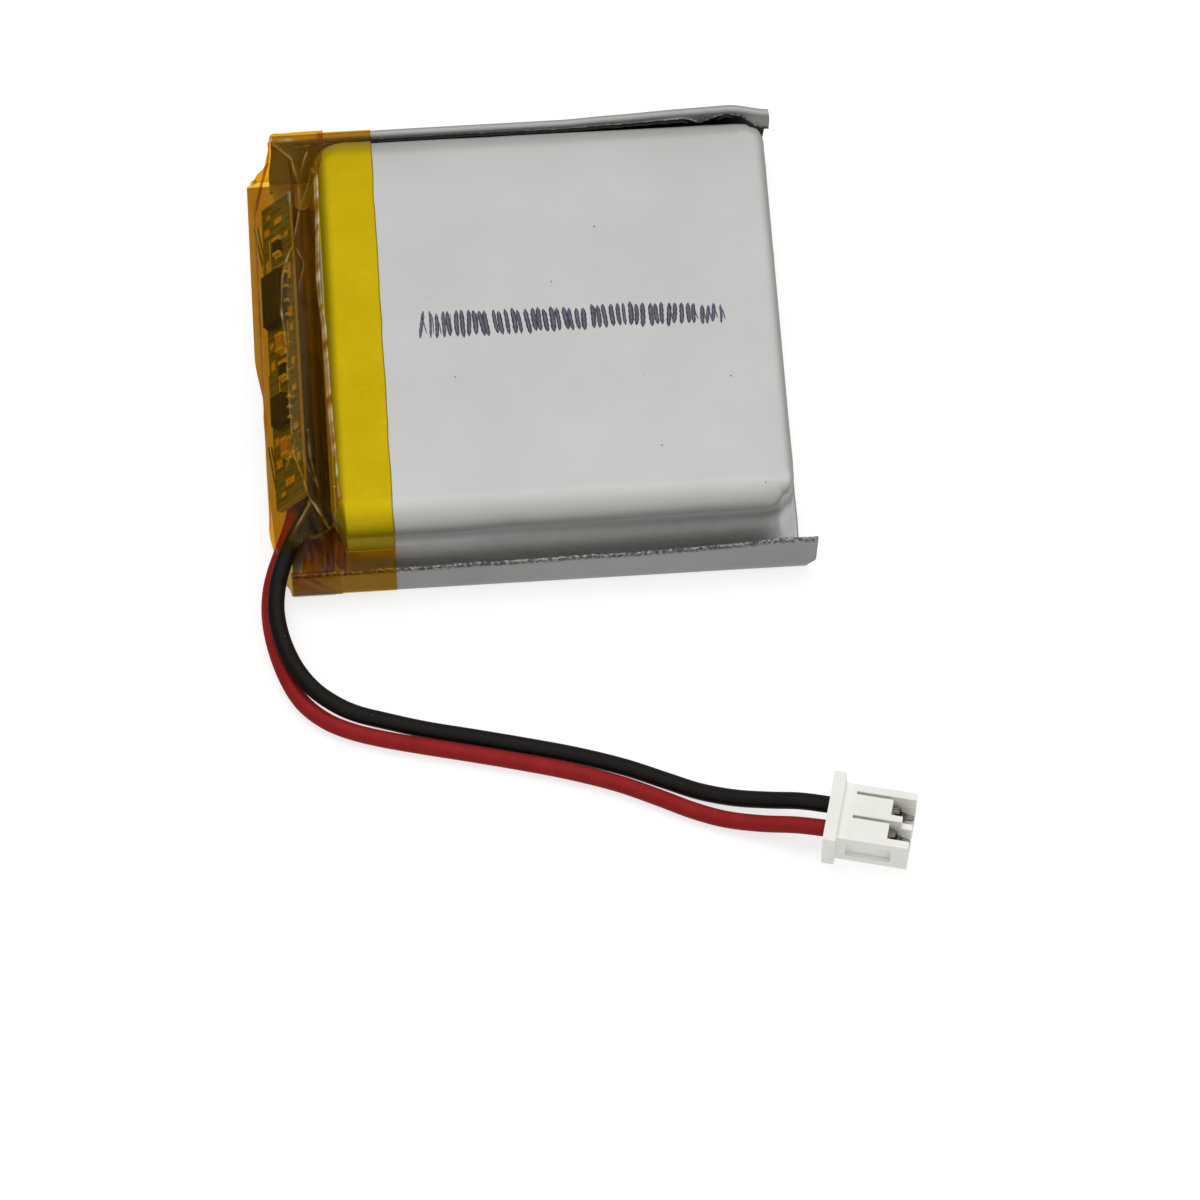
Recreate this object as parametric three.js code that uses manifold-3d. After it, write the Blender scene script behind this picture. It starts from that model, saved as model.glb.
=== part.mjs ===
// Pouch battery cell, 9 x 35 x 40 mm class, with a protection board, two leads and a two-way plug.
// Millimetres, +Z up. The cell lies flat with its drawn cup upwards, the sealed head with the
// board points to -X, and the folded end of the pouch points to +X.

import * as THREE from 'three';
import { mergeVertices } from 'three/addons/utils/BufferGeometryUtils.js';
import Module from 'manifold-3d';

const wasm = await Module();
wasm.setup();

// ---------------------------------------------------------------- driving dimensions

const CELL_HEIGHT = 9;
const CUP_LENGTH = 35.5;
const CUP_WIDTH = 35;
const EDGE_RADIUS = 2;
const CORNER_RADIUS = 2.6;

const SHEET = 0.16; // one thickness of pouch laminate
const TAPE = 0.08; // polyimide tape
const GAP = 0.02; // clearance between laid-on layers

const POUCH_START = -3.25; // outer edge of the sealed head
const POUCH_END = 36.1; // folded end of the pouch
const FLAP_END = 36.75; // side flaps run a little past the fold
const FRONT_FLAP_HEIGHT = 4.2;
const BACK_FLAP_HEIGHT = 7.7;
const FLAP_OFFSET = 0.8; // free space between the cup wall and a folded-up side flap
const FLAP_CHAMFER = 0.8;
const LIP_DEPTH = 1; // how far the top of the back flap is folded down inside it
const LIP_GAP = 0.06;

const TAPE_START = 0.5;
const TAPE_END = 4.7;
const WRAP_START = -5.3; // pinched outer edge of the board tape
const WRAP_FRONT = -14;
const WRAP_BACK = 17.3;

const ROLL_START = 1.5;
const ROLL_END = 34;
const ROLL_WIDTH = 34;
const ROLL_HEIGHT = 7.9;
const ROLL_BOTTOM = 0.5;
const ROLL_TURNS = 4;
const ARC_STEPS = 6; // steps in each half turn

const TAB_WIDTH = 4;
const TAB_THICKNESS = 0.12;
const SEALANT_WIDTH = 6;
const SEALANT_HEIGHT = 0.42;
const POSITIVE_TAB_Y = 9.5;
const NEGATIVE_TAB_Y = -1.5;

const BOARD_WIDTH = 3.6;
const BOARD_THICKNESS = 0.6;
const BOARD_FRONT = -12;
const BOARD_BACK = 15;
const BOARD_CENTRE = new THREE.Vector3(-2.85, 0, 3.15);
const BOARD_TILT = THREE.MathUtils.degToRad(50);
const JOINT_GAP = 0.05; // solder film between the board and what is mounted on it

const LEAD_DIAMETER = 1.3;
const LEAD_SIDES = 8;
const LEAD_STEPS = 24;
const CONDUCTOR_DIAMETER = 0.48;
const LEAD_END_GAP = 0.3;

const PLUG_BACK = new THREE.Vector3(35.9, -40.9, 2); // middle of the plug's wire side
const PLUG_YAW = THREE.MathUtils.degToRad(-14);
const PLUG_PITCH = 2;
const PLUG_LENGTH = 6.4;
const PLUG_WIDTH = 4.7;
const PLUG_HEIGHT = 4;
const FLANGE_LENGTH = 1.5;
const FLANGE_WIDTH = 5.8;
const CHANNEL = 1.5;

const HALF_WIDTH = CUP_WIDTH / 2;
const FLAP_INNER = HALF_WIDTH + FLAP_OFFSET;
const FLAP_THICKNESS = 2 * SHEET - GAP;
const FLAP_OUTER = FLAP_INNER + FLAP_THICKNESS;
const LIP_INNER = FLAP_INNER - LIP_GAP - FLAP_THICKNESS;
const TAPE_OUTER = FLAP_OUTER + GAP + TAPE;
const MIDDLE_X = (WRAP_START + FLAP_END) / 2;

// ---------------------------------------------------------------- materials

const paint = (color, roughness, metalness) =>
  new THREE.MeshStandardMaterial({ color, roughness, metalness });

const LAMINATE = [0xc8c8c6, 0.42, 0.7];
const AMBER = [0xcfa010, 0.25, 0];
const NICKEL = [0xb9b7ae, 0.35, 1];
const BLACK_RESIN = [0x1d1d1f, 0.55, 0];

// ---------------------------------------------------------------- geometry helpers

const point = (x, y) => new THREE.Vector2(x, y);
const outline = (pairs) => pairs.map(([x, y]) => point(x, y));

// An outline in the YZ plane, drawn out along +X.
function alongX(points, start, end) {
  const geometry = new THREE.ExtrudeGeometry(new THREE.Shape(points), {
    depth: end - start,
    bevelEnabled: false,
  });
  const turn = new THREE.Matrix4().makeBasis(
    new THREE.Vector3(0, 1, 0),
    new THREE.Vector3(0, 0, 1),
    new THREE.Vector3(1, 0, 0),
  );
  return geometry.applyMatrix4(turn).translate(start, 0, 0);
}

// An outline in the XZ plane, drawn out along Y.
function alongY(points, start, end) {
  const geometry = new THREE.ExtrudeGeometry(new THREE.Shape(points), {
    depth: end - start,
    bevelEnabled: false,
  });
  const turn = new THREE.Matrix4().makeBasis(
    new THREE.Vector3(1, 0, 0),
    new THREE.Vector3(0, 0, 1),
    new THREE.Vector3(0, -1, 0),
  );
  return geometry.applyMatrix4(turn).translate(0, end, 0);
}

function box(low, high) {
  const size = high.map((value, axis) => value - low[axis]);
  const middle = high.map((value, axis) => (value + low[axis]) / 2);
  return new THREE.BoxGeometry(...size).translate(...middle);
}

// A strip of even thickness that follows a line of points.
function ribbon(line, thickness) {
  const near = [];
  const far = [];
  line.forEach((here, i) => {
    const before = line[Math.max(i - 1, 0)];
    const after = line[Math.min(i + 1, line.length - 1)];
    const into = here.clone().sub(before);
    const out = after.clone().sub(here);
    if (i === 0) into.copy(out);
    if (i === line.length - 1) out.copy(into);
    const normalIn = point(-into.y, into.x).normalize();
    const normalOut = point(-out.y, out.x).normalize();
    const mitre = normalIn.clone().add(normalOut).normalize();
    mitre.multiplyScalar(thickness / 2 / mitre.dot(normalIn));
    near.push(here.clone().add(mitre));
    far.unshift(here.clone().sub(mitre));
  });
  return [...near, ...far];
}

function toSolid(geometry) {
  const bare = geometry.clone();
  bare.deleteAttribute('normal');
  bare.deleteAttribute('uv');
  const merged = mergeVertices(bare, 1e-5);
  return new wasm.Manifold(
    new wasm.Mesh({
      numProp: 3,
      vertProperties: Float32Array.from(merged.attributes.position.array),
      triVerts: Uint32Array.from(merged.index.array),
    }),
  );
}

function toGeometry(solid) {
  const mesh = solid.getMesh();
  const geometry = new THREE.BufferGeometry();
  geometry.setAttribute('position', new THREE.BufferAttribute(mesh.vertProperties, 3));
  geometry.setIndex(new THREE.BufferAttribute(mesh.triVerts, 1));
  geometry.computeVertexNormals();
  return geometry;
}

// A block with rounded upright corners and a rounded top rim, standing from z = 0 to its top.
function roundedBlock(start, end, halfWidth, top, corner, edge) {
  const shape = new THREE.Shape();
  shape.moveTo(start + corner, -halfWidth);
  shape.lineTo(end - corner, -halfWidth);
  shape.absarc(end - corner, -halfWidth + corner, corner, -Math.PI / 2, 0);
  shape.lineTo(end, halfWidth - corner);
  shape.absarc(end - corner, halfWidth - corner, corner, 0, Math.PI / 2);
  shape.lineTo(start + corner, halfWidth);
  shape.absarc(start + corner, halfWidth - corner, corner, Math.PI / 2, Math.PI);
  shape.lineTo(start, -halfWidth + corner);
  shape.absarc(start + corner, -halfWidth + corner, corner, Math.PI, 1.5 * Math.PI);
  const geometry = new THREE.ExtrudeGeometry(shape, {
    depth: top,
    curveSegments: 6,
    bevelThickness: edge,
    bevelSize: edge,
    bevelOffset: -edge,
    bevelSegments: 6,
  });
  const below = box([start - 1, -halfWidth - 1, -top], [end + 1, halfWidth + 1, 0]);
  return toSolid(geometry.translate(0, 0, -edge)).subtract(toSolid(below));
}

// ---------------------------------------------------------------- the assembly

const group = new THREE.Group();
const cell = new THREE.Group();
cell.position.set(-MIDDLE_X, 0, 0);
group.add(cell);

function add(name, geometry, look, parent = cell) {
  const mesh = new THREE.Mesh(geometry, paint(...look));
  mesh.name = name;
  parent.add(mesh);
  return mesh;
}

// The drawn cup: a thin shell, open underneath, with a narrow flange at its foot. It is
// slightly smaller where the head tape lies, so that the tape ends flush.
function pouchCup() {
  const sunk = TAPE + 2 * GAP;
  const inset = sunk + SHEET;
  const tapeZone = toSolid(box([-1, -20, 0], [TAPE_END, 20, CELL_HEIGHT + 1]));
  const main = roundedBlock(
    0, CUP_LENGTH, HALF_WIDTH, CELL_HEIGHT, CORNER_RADIUS, EDGE_RADIUS,
  );
  const taped = roundedBlock(
    0, CUP_LENGTH, HALF_WIDTH - sunk, CELL_HEIGHT - sunk, CORNER_RADIUS, EDGE_RADIUS,
  );
  const inside = roundedBlock(
    SHEET, CUP_LENGTH - SHEET, HALF_WIDTH - inset, CELL_HEIGHT - inset,
    CORNER_RADIUS - SHEET, EDGE_RADIUS - SHEET,
  );
  const foot = toSolid(box([-1, -20, -1], [CUP_LENGTH + 1, 20, SHEET]));
  const flange = toSolid(
    box([SHEET / 2, -FLAP_OUTER, SHEET], [POUCH_END, FLAP_OUTER, 2 * SHEET]),
  );
  let shell = main.subtract(tapeZone).add(taped.intersect(tapeZone));
  shell = shell.subtract(foot).add(flange).subtract(inside);
  for (const y of [NEGATIVE_TAB_Y, POSITIVE_TAB_Y]) {
    const half = SEALANT_WIDTH / 2 + GAP;
    const passage = box([-1, y - half, 0], [1, y + half, SHEET + SEALANT_HEIGHT + GAP]);
    shell = shell.subtract(toSolid(passage));
  }
  return toGeometry(shell);
}

// The flat half of the pouch, thinned where the tape passes under it.
function pouchCover() {
  const profile = outline([
    [POUCH_START, TAPE + GAP],
    [TAPE_END, TAPE + GAP],
    [TAPE_END, 0],
    [POUCH_END, 0],
    [POUCH_END, SHEET],
    [POUCH_START, SHEET],
  ]);
  return alongY(profile, -FLAP_OUTER, FLAP_OUTER);
}

// The upper laminate of the sealed head, raised over the two tabs.
function headSeal() {
  const rise = SEALANT_HEIGHT + GAP;
  const points = [[-FLAP_OUTER, SHEET]];
  const raised = [];
  for (const y of [NEGATIVE_TAB_Y, POSITIVE_TAB_Y]) {
    const inner = SEALANT_WIDTH / 2 + GAP;
    const outer = inner + SHEET;
    points.push(
      [y - inner, SHEET],
      [y - inner, SHEET + rise],
      [y + inner, SHEET + rise],
      [y + inner, SHEET],
    );
    raised.unshift(
      [y + outer, 2 * SHEET],
      [y + outer, 2 * SHEET + rise],
      [y - outer, 2 * SHEET + rise],
      [y - outer, 2 * SHEET],
    );
  }
  points.push([FLAP_OUTER, SHEET], [FLAP_OUTER, 2 * SHEET]);
  return alongX(
    outline([...points, ...raised, [-FLAP_OUTER, 2 * SHEET]]), POUCH_START, -GAP,
  );
}

// A heat-sealed side strip, folded up beside the cup. The foot of its free end is cut off.
function sideSeal(y, height) {
  const foot = 2 * SHEET;
  const profile = outline([
    [POUCH_START, foot],
    [POUCH_END, foot],
    [FLAP_END, foot + FLAP_CHAMFER],
    [FLAP_END, height],
    [POUCH_START, height],
  ]);
  return alongY(profile, y, y + FLAP_THICKNESS);
}

// The back strip stands as high as the cell, and its top is folded down on the inner side.
function backSeal() {
  const top = BACK_FLAP_HEIGHT;
  const lip = box([POUCH_START, LIP_INNER, top - LIP_DEPTH], [FLAP_END, FLAP_INNER, top]);
  const slit = box(
    [POUCH_START - 1, LIP_INNER + FLAP_THICKNESS, 0],
    [FLAP_END + 1, FLAP_INNER, top - FLAP_THICKNESS],
  );
  const strip = toSolid(sideSeal(FLAP_INNER, top));
  return toGeometry(strip.add(toSolid(lip).subtract(toSolid(slit))));
}

add('pouch_cup', pouchCup(), LAMINATE);
add('pouch_cover', pouchCover(), LAMINATE);
add('head_seal', headSeal(), LAMINATE);
add('side_seal_front', sideSeal(-FLAP_OUTER, FRONT_FLAP_HEIGHT), LAMINATE);
add('side_seal_back', backSeal(), LAMINATE);

// ---------------------------------------------------------------- electrode winding

// One layer of the flat winding: layer 0 starts innermost, and each lies on the one before it.
function windingLayer(layer, start, end) {
  const half = ROLL_HEIGHT / 2;
  const core = 0.4;
  const step = (half - core) / (4 * ROLL_TURNS + 3.5);
  const spread = ROLL_WIDTH / 2 - half;
  const middle = ROLL_BOTTOM + half;
  const line = [];
  for (let turn = 0; turn < 2 * ROLL_TURNS; turn += 1) {
    const side = turn % 2 === 0 ? 1 : -1;
    for (let i = 0; i <= ARC_STEPS; i += 1) {
      const swept = turn + i / ARC_STEPS;
      const radius = core + step * (layer + 2 * swept);
      const angle = Math.PI * (swept - 0.5);
      line.push(point(
        side * spread + radius * Math.cos(angle),
        middle + radius * Math.sin(angle),
      ));
    }
  }
  return alongX(ribbon(line, step - 0.02), start, end);
}

const SEPARATOR = [0xf1f1ee, 0.8, 0];
add('inner_separator', windingLayer(0, ROLL_START, ROLL_END), SEPARATOR);
add('anode_sheet', windingLayer(1, ROLL_START + 0.4, ROLL_END - 0.4), [0x33302e, 0.7, 0.2]);
add('outer_separator', windingLayer(2, ROLL_START, ROLL_END), SEPARATOR);
add('cathode_sheet', windingLayer(3, ROLL_START + 0.8, ROLL_END - 0.8), [0x3d4044, 0.75, 0.2]);

const ROLL_TOP = ROLL_BOTTOM + ROLL_HEIGHT + 0.04;
add('winding_tape', box([12, -6, ROLL_TOP], [24, 6, ROLL_TOP + 0.06]), [0x3f8f6a, 0.5, 0]);

// ---------------------------------------------------------------- tabs

// A point in the XZ plane given in the tilted board's own directions: across is along its
// width, up and inwards, and out is away from its component side.
function boardPoint(across, out) {
  const cos = Math.cos(BOARD_TILT);
  const sin = Math.sin(BOARD_TILT);
  return point(
    BOARD_CENTRE.x + across * cos - out * sin,
    BOARD_CENTRE.z + across * sin + out * cos,
  );
}

const LINK_THICKNESS = 0.15;
const LINK_OUT = -BOARD_THICKNESS / 2 - JOINT_GAP - LINK_THICKNESS / 2;
const TAB_OUT = LINK_OUT - LINK_THICKNESS / 2 - JOINT_GAP - TAB_THICKNESS / 2;
const TAB_LEVEL = SHEET + SEALANT_HEIGHT / 2;

// A tab rises from the winding, passes through the sealed head and folds back under the board.
function tab(y) {
  const line = [
    ...outline([
      [0.95, 3.4],
      [0.95, 0.7],
      [0.65, TAB_LEVEL],
      [-3.65, TAB_LEVEL],
      [-4.15, 0.6],
      [-4.25, 1],
      [-3.85, 1.3],
    ]),
    boardPoint(-1.4, TAB_OUT),
    boardPoint(0.6, TAB_OUT),
  ];
  return alongY(ribbon(line, TAB_THICKNESS), y - TAB_WIDTH / 2, y + TAB_WIDTH / 2);
}

// A sleeve of sealing resin around a tab where it passes through the head.
function tabSealant(y) {
  const half = SEALANT_WIDTH / 2;
  const sleeve = new THREE.Shape(outline([
    [y - half, SHEET],
    [y + half, SHEET],
    [y + half, SHEET + SEALANT_HEIGHT],
    [y - half, SHEET + SEALANT_HEIGHT],
  ]));
  const holeHalf = TAB_WIDTH / 2 + GAP;
  const holeRise = TAB_THICKNESS / 2 + GAP;
  const hole = outline([
    [y - holeHalf, TAB_LEVEL - holeRise],
    [y - holeHalf, TAB_LEVEL + holeRise],
    [y + holeHalf, TAB_LEVEL + holeRise],
    [y + holeHalf, TAB_LEVEL - holeRise],
  ]);
  const start = POUCH_START - 0.25;
  const geometry = alongX(sleeve.getPoints(), start, -0.1);
  return toGeometry(toSolid(geometry).subtract(toSolid(alongX(hole, start - 1, 1))));
}

// A nickel strip under the board, welded to a tab.
function link(y) {
  const line = [boardPoint(-1.3, LINK_OUT), boardPoint(1.2, LINK_OUT)];
  return alongY(ribbon(line, LINK_THICKNESS), y - 1.5, y + 1.5);
}

const RESIN = [0xe8e4d4, 0.6, 0];
add('positive_tab', tab(POSITIVE_TAB_Y), [0xd9dadb, 0.4, 1]);
add('negative_tab', tab(NEGATIVE_TAB_Y), NICKEL);
add('positive_tab_sealant', tabSealant(POSITIVE_TAB_Y), RESIN);
add('negative_tab_sealant', tabSealant(NEGATIVE_TAB_Y), RESIN);
add('positive_link', link(POSITIVE_TAB_Y), NICKEL);
add('negative_link', link(NEGATIVE_TAB_Y), NICKEL);

const PAPER_LEVEL = 2 * SHEET + SEALANT_HEIGHT + 2 * GAP;
add(
  'insulating_strip',
  box([-3.1, -6.3, PAPER_LEVEL], [-0.3, 15, PAPER_LEVEL + 0.1]),
  [0x8a9a86, 0.85, 0],
);

// ---------------------------------------------------------------- protection board

// Local axes of the board: x across its width, y along the cell, z out of its component side.
const board = new THREE.Group();
board.position.copy(BOARD_CENTRE);
board.rotation.y = -BOARD_TILT;
cell.add(board);

function boardBlock(name, across, along, size, look) {
  const base = BOARD_THICKNESS / 2 + JOINT_GAP;
  const [width, length, height] = size;
  const geometry = new THREE.BoxGeometry(width, length, height);
  const mesh = add(name, geometry, look, board);
  mesh.position.set(across, along, base + height / 2);
}

const boardPlate = add(
  'protection_board',
  new THREE.BoxGeometry(BOARD_WIDTH, BOARD_BACK - BOARD_FRONT, BOARD_THICKNESS),
  [0x3b4a1c, 0.4, 0],
  board,
);
boardPlate.position.y = (BOARD_FRONT + BOARD_BACK) / 2;

boardBlock('power_mosfet', -0.2, 6, [2.2, 4.6, 0.8], BLACK_RESIN);
boardBlock('protection_ic', -0.2, -4, [1.5, 2.6, 0.8], BLACK_RESIN);

const CERAMIC = [0xa98c62, 0.5, 0];
boardBlock('filter_capacitor', 0.2, 1.9, [0.8, 1.6, 0.6], CERAMIC);
boardBlock('filter_resistor', 0.2, -0.5, [0.8, 1.6, 0.4], BLACK_RESIN);
boardBlock('bypass_capacitor', 0.2, -7.4, [0.8, 1.6, 0.6], CERAMIC);
boardBlock('sense_resistor', 0.2, 10.6, [0.8, 1.6, 0.4], BLACK_RESIN);

// A drop of solder on the underside of the board.
function solderJoint(name, across) {
  const radius = 0.7;
  const height = 0.45;
  const profile = [point(0, 0), point(radius, 0)];
  for (let i = 1; i < 4; i += 1) {
    const angle = (i / 4) * (Math.PI / 2);
    profile.push(point(radius * Math.cos(angle), height * Math.sin(angle)));
  }
  profile.push(point(0, height));
  const geometry = new THREE.LatheGeometry(profile, 16);
  const mesh = add(name, geometry, NICKEL, board);
  mesh.rotation.x = -Math.PI / 2;
  mesh.position.set(across, -7, -BOARD_THICKNESS / 2 - JOINT_GAP);
}

solderJoint('positive_solder_joint', -0.9);
solderJoint('negative_solder_joint', 0.8);

// ---------------------------------------------------------------- leads

// A round tube along a smooth curve through the given points.
function tube(points, diameter, steps) {
  const section = new THREE.Shape();
  section.absarc(0, 0, diameter / 2, 0, 2 * Math.PI);
  const path = new THREE.CatmullRomCurve3(points.map((p) => new THREE.Vector3(...p)));
  return new THREE.ExtrudeGeometry(section, {
    steps,
    curveSegments: LEAD_SIDES,
    extrudePath: path,
  });
}

// The two leads run from under the board, out of the front of the tape and down to the
// surface, then side by side along it to the plug.
const RED_ROUTE = [
  [-2.75, -8.6, 1.05],
  [-2.75, -10.2, 1.05],
  [-2.85, -11.8, 1.05],
  [-3.3, -13.4, 1.05],
  [-3.95, -15.1, 1],
  [-4.6, -16.8, 0.85],
  [-5.02, -18.5, 0.72],
  [-5.15, -20.6, 0.66],
  [-4.85, -23.1, 0.66],
  [-4.1, -25.8, 0.66],
  [-3, -28, 0.66],
  [-1.4, -29.6, 0.66],
  [0.5, -30.65, 0.66],
  [2.8, -31.45, 0.66],
  [5.8, -32.25, 0.66],
  [9.45, -33.15, 0.66],
  [13.15, -34.1, 0.66],
  [16.85, -35.15, 0.66],
  [20.4, -36.4, 0.66],
  [23.4, -37.8, 0.66],
  [25.9, -39.05, 0.66],
  [28.3, -40, 0.75],
  [30.9, -40.75, 1.2],
  [33.4, -41.35, 1.85],
];

const BLACK_ROUTE = [
  [-1.3, -8.6, 1.5],
  [-1.35, -10.2, 1.55],
  [-1.7, -11.9, 1.9],
  [-2.45, -13.6, 2.3],
  [-3.3, -15.4, 2.4],
  [-4.05, -17.2, 2.2],
  [-4.5, -19, 2.05],
  [-4.62, -21, 2],
  [-4.25, -23.3, 1.98],
  [-3.4, -25.55, 1.86],
  [-2.15, -27.35, 1.66],
  [-0.65, -28.55, 1.35],
  [1, -29.35, 1],
  [3.2, -30, 0.74],
  [6.2, -30.9, 0.66],
  [9.8, -31.8, 0.66],
  [13.5, -32.75, 0.66],
  [17.3, -33.8, 0.66],
  [20.95, -35.05, 0.66],
  [24, -36.4, 0.66],
  [26.5, -37.5, 0.68],
  [29.1, -38.3, 0.85],
  [31.6, -38.9, 1.35],
  [33.9, -39.4, 1.9],
];

// Where a lead meets the plug: one pitch position on its wire side, less the end gap.
function plugEntry(side) {
  const entry = new THREE.Vector3(-LEAD_END_GAP, side * PLUG_PITCH / 2, 0);
  entry.applyAxisAngle(new THREE.Vector3(0, 0, 1), PLUG_YAW);
  return entry.add(PLUG_BACK).toArray();
}

add(
  'red_lead_jacket',
  tube([...RED_ROUTE, plugEntry(-1)], LEAD_DIAMETER, LEAD_STEPS),
  [0xa51f24, 0.45, 0],
);
add(
  'black_lead_jacket',
  tube([...BLACK_ROUTE, plugEntry(1)], LEAD_DIAMETER, LEAD_STEPS),
  [0x1c1c1e, 0.45, 0],
);

// The stripped ends, from just past each jacket up to the drops of solder.
const COPPER = [0xc98d62, 0.35, 1];
add(
  'red_conductor_end',
  tube([[-2.75, -8.5, 1.05], [-2.74, -8.1, 1.15], [-2.7, -7.1, 1.6]], CONDUCTOR_DIAMETER, 3),
  COPPER,
);
add(
  'black_conductor_end',
  tube([[-1.3, -8.5, 1.5], [-1.33, -8.1, 1.8], [-1.45, -7.1, 2.85]], CONDUCTOR_DIAMETER, 3),
  COPPER,
);

// ---------------------------------------------------------------- plug

// Local axes of the plug: x points out of its mating end, y runs along its width.
const plug = new THREE.Group();
plug.position.copy(PLUG_BACK);
plug.rotation.z = PLUG_YAW;
cell.add(plug);

const HALF_PLUG = PLUG_HEIGHT / 2;
const SIDES = [-1, 1];

// The housing: a flanged block with two through channels, open on top at the mating end.
function plugHousing() {
  const body = box([0.5, -PLUG_WIDTH / 2, -HALF_PLUG], [PLUG_LENGTH, PLUG_WIDTH / 2, 1.5]);
  const flange = box(
    [0, -FLANGE_WIDTH / 2, -HALF_PLUG], [FLANGE_LENGTH, FLANGE_WIDTH / 2, HALF_PLUG],
  );
  let solid = toSolid(body).add(toSolid(flange));
  for (const side of SIDES) {
    const y = side * PLUG_PITCH / 2;
    const half = CHANNEL / 2;
    const channel = box([-1, y - half, -half], [PLUG_LENGTH + 1, y + half, half]);
    const mouth = box([4.9, y - half, 0], [PLUG_LENGTH + 1, y + half, 3]);
    const slot = box([2.3, y + half - 0.2, 0], [PLUG_LENGTH, y + half, 3]);
    const rebate = box(
      [2.2, side * 2.05, -1.2], [5.4, side * 2.05 + side * 1, 0.7],
    );
    solid = solid.subtract(toSolid(channel)).subtract(toSolid(mouth)).subtract(toSolid(slot));
    if (side > 0) solid = solid.subtract(toSolid(rebate));
  }
  return toGeometry(solid);
}

// A folded contact: crimp barrel, box and a narrower tip.
function plugTerminal(side) {
  const y = side * PLUG_PITCH / 2;
  const crimp = box([0.6, y - 0.45, -0.5], [2.4, y + 0.45, 0.4]);
  const boxBody = box([2.2, y - 0.55, -0.55], [5.5, y + 0.55, 0.45]);
  const tip = box([5.3, y - 0.3, -0.45], [6.25, y + 0.3, 0.15]);
  return toGeometry(toSolid(crimp).add(toSolid(boxBody)).add(toSolid(tip)));
}

add('plug_housing', plugHousing(), [0xe9e8e3, 0.5, 0], plug);
add('plug_terminal_positive', plugTerminal(-1), NICKEL, plug);
add('plug_terminal_negative', plugTerminal(1), NICKEL, plug);

// ---------------------------------------------------------------- tape

// The closed loop that the head tape makes round the cell, at a given distance inside its
// outer face. It clings to the front wall, and sags a little between the back flap and the rim.
function tapeLoop(inset) {
  const wall = HALF_WIDTH - inset;
  const shoulder = CELL_HEIGHT - inset - EDGE_RADIUS;
  const overFlap = TAPE + GAP - inset;
  const rim = (step) => {
    const angle = (step / ARC_STEPS) * (Math.PI / 2);
    return [
      wall - EDGE_RADIUS + EDGE_RADIUS * Math.cos(angle),
      shoulder + EDGE_RADIUS * Math.sin(angle),
    ];
  };
  const front = [
    [TAPE_OUTER - inset, inset],
    [TAPE_OUTER - inset, FRONT_FLAP_HEIGHT + overFlap],
    [wall, FRONT_FLAP_HEIGHT + 1 - inset],
  ];
  const back = [
    [TAPE_OUTER - inset, inset],
    [TAPE_OUTER - inset, BACK_FLAP_HEIGHT + overFlap],
    [LIP_INNER - 0.1 + inset, BACK_FLAP_HEIGHT + overFlap],
  ];
  for (let step = 0; step <= ARC_STEPS; step += 1) front.push(rim(step));
  for (let step = 2; step <= ARC_STEPS; step += 1) back.push(rim(step));
  const mirrored = front.map(([y, z]) => [-y, z]).reverse();
  return outline([...back, ...mirrored]);
}

function headTape() {
  const outer = toSolid(alongX(tapeLoop(0), TAPE_START, TAPE_END));
  const inner = toSolid(alongX(tapeLoop(TAPE), TAPE_START - 1, TAPE_END + 1));
  return toGeometry(outer.subtract(inner));
}

// The film that drapes from the cup's rim over the board, is pinched along its outer edge
// and returns underneath, where it also covers the ends of the side flaps.
function boardTape() {
  const half = TAPE / 2;
  const drape = outline([
    [0.3, 8.35],
    [-0.35, 6.9],
    [-1.2, 5.8],
    [-2.9, 5.15],
    [-4.85, 3.4],
    [-5.05, 1.6],
    [WRAP_START + half, 0.45],
    [WRAP_START + half, half],
    [TAPE_START - GAP, half],
  ]);
  const film = toSolid(alongY(ribbon(drape, TAPE), WRAP_FRONT, WRAP_BACK));
  const frontRise = FRONT_FLAP_HEIGHT + TAPE;
  const backRise = BACK_FLAP_HEIGHT + TAPE;
  const inside = TAPE_OUTER - TAPE;
  const cradle = outline([
    [-TAPE_OUTER, 0],
    [TAPE_OUTER, 0],
    [TAPE_OUTER, backRise],
    [inside, backRise],
    [inside, TAPE],
    [-inside, TAPE],
    [-inside, frontRise],
    [-TAPE_OUTER, frontRise],
  ]);
  return toGeometry(film.add(toSolid(alongX(cradle, POUCH_START, TAPE_START - GAP))));
}

add('head_tape', headTape(), AMBER);
add('board_tape', boardTape(), AMBER);

export default group;
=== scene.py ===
import math

import bmesh
import bpy
import numpy as np
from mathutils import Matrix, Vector


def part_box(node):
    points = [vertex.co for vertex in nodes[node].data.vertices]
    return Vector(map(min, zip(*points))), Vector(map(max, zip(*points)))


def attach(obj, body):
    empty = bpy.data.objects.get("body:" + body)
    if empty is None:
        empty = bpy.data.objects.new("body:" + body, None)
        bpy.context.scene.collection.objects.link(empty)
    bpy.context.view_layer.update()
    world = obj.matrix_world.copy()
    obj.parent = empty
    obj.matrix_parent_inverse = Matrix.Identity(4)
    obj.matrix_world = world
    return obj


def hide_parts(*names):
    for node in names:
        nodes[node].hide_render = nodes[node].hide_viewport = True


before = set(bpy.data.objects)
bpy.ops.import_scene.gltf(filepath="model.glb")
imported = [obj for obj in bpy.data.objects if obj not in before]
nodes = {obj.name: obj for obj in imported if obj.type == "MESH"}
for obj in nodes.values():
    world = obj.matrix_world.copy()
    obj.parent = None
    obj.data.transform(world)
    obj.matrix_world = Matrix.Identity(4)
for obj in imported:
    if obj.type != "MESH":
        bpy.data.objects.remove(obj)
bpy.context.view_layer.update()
scene = bpy.context.scene
rng = np.random.default_rng(20)

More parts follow.
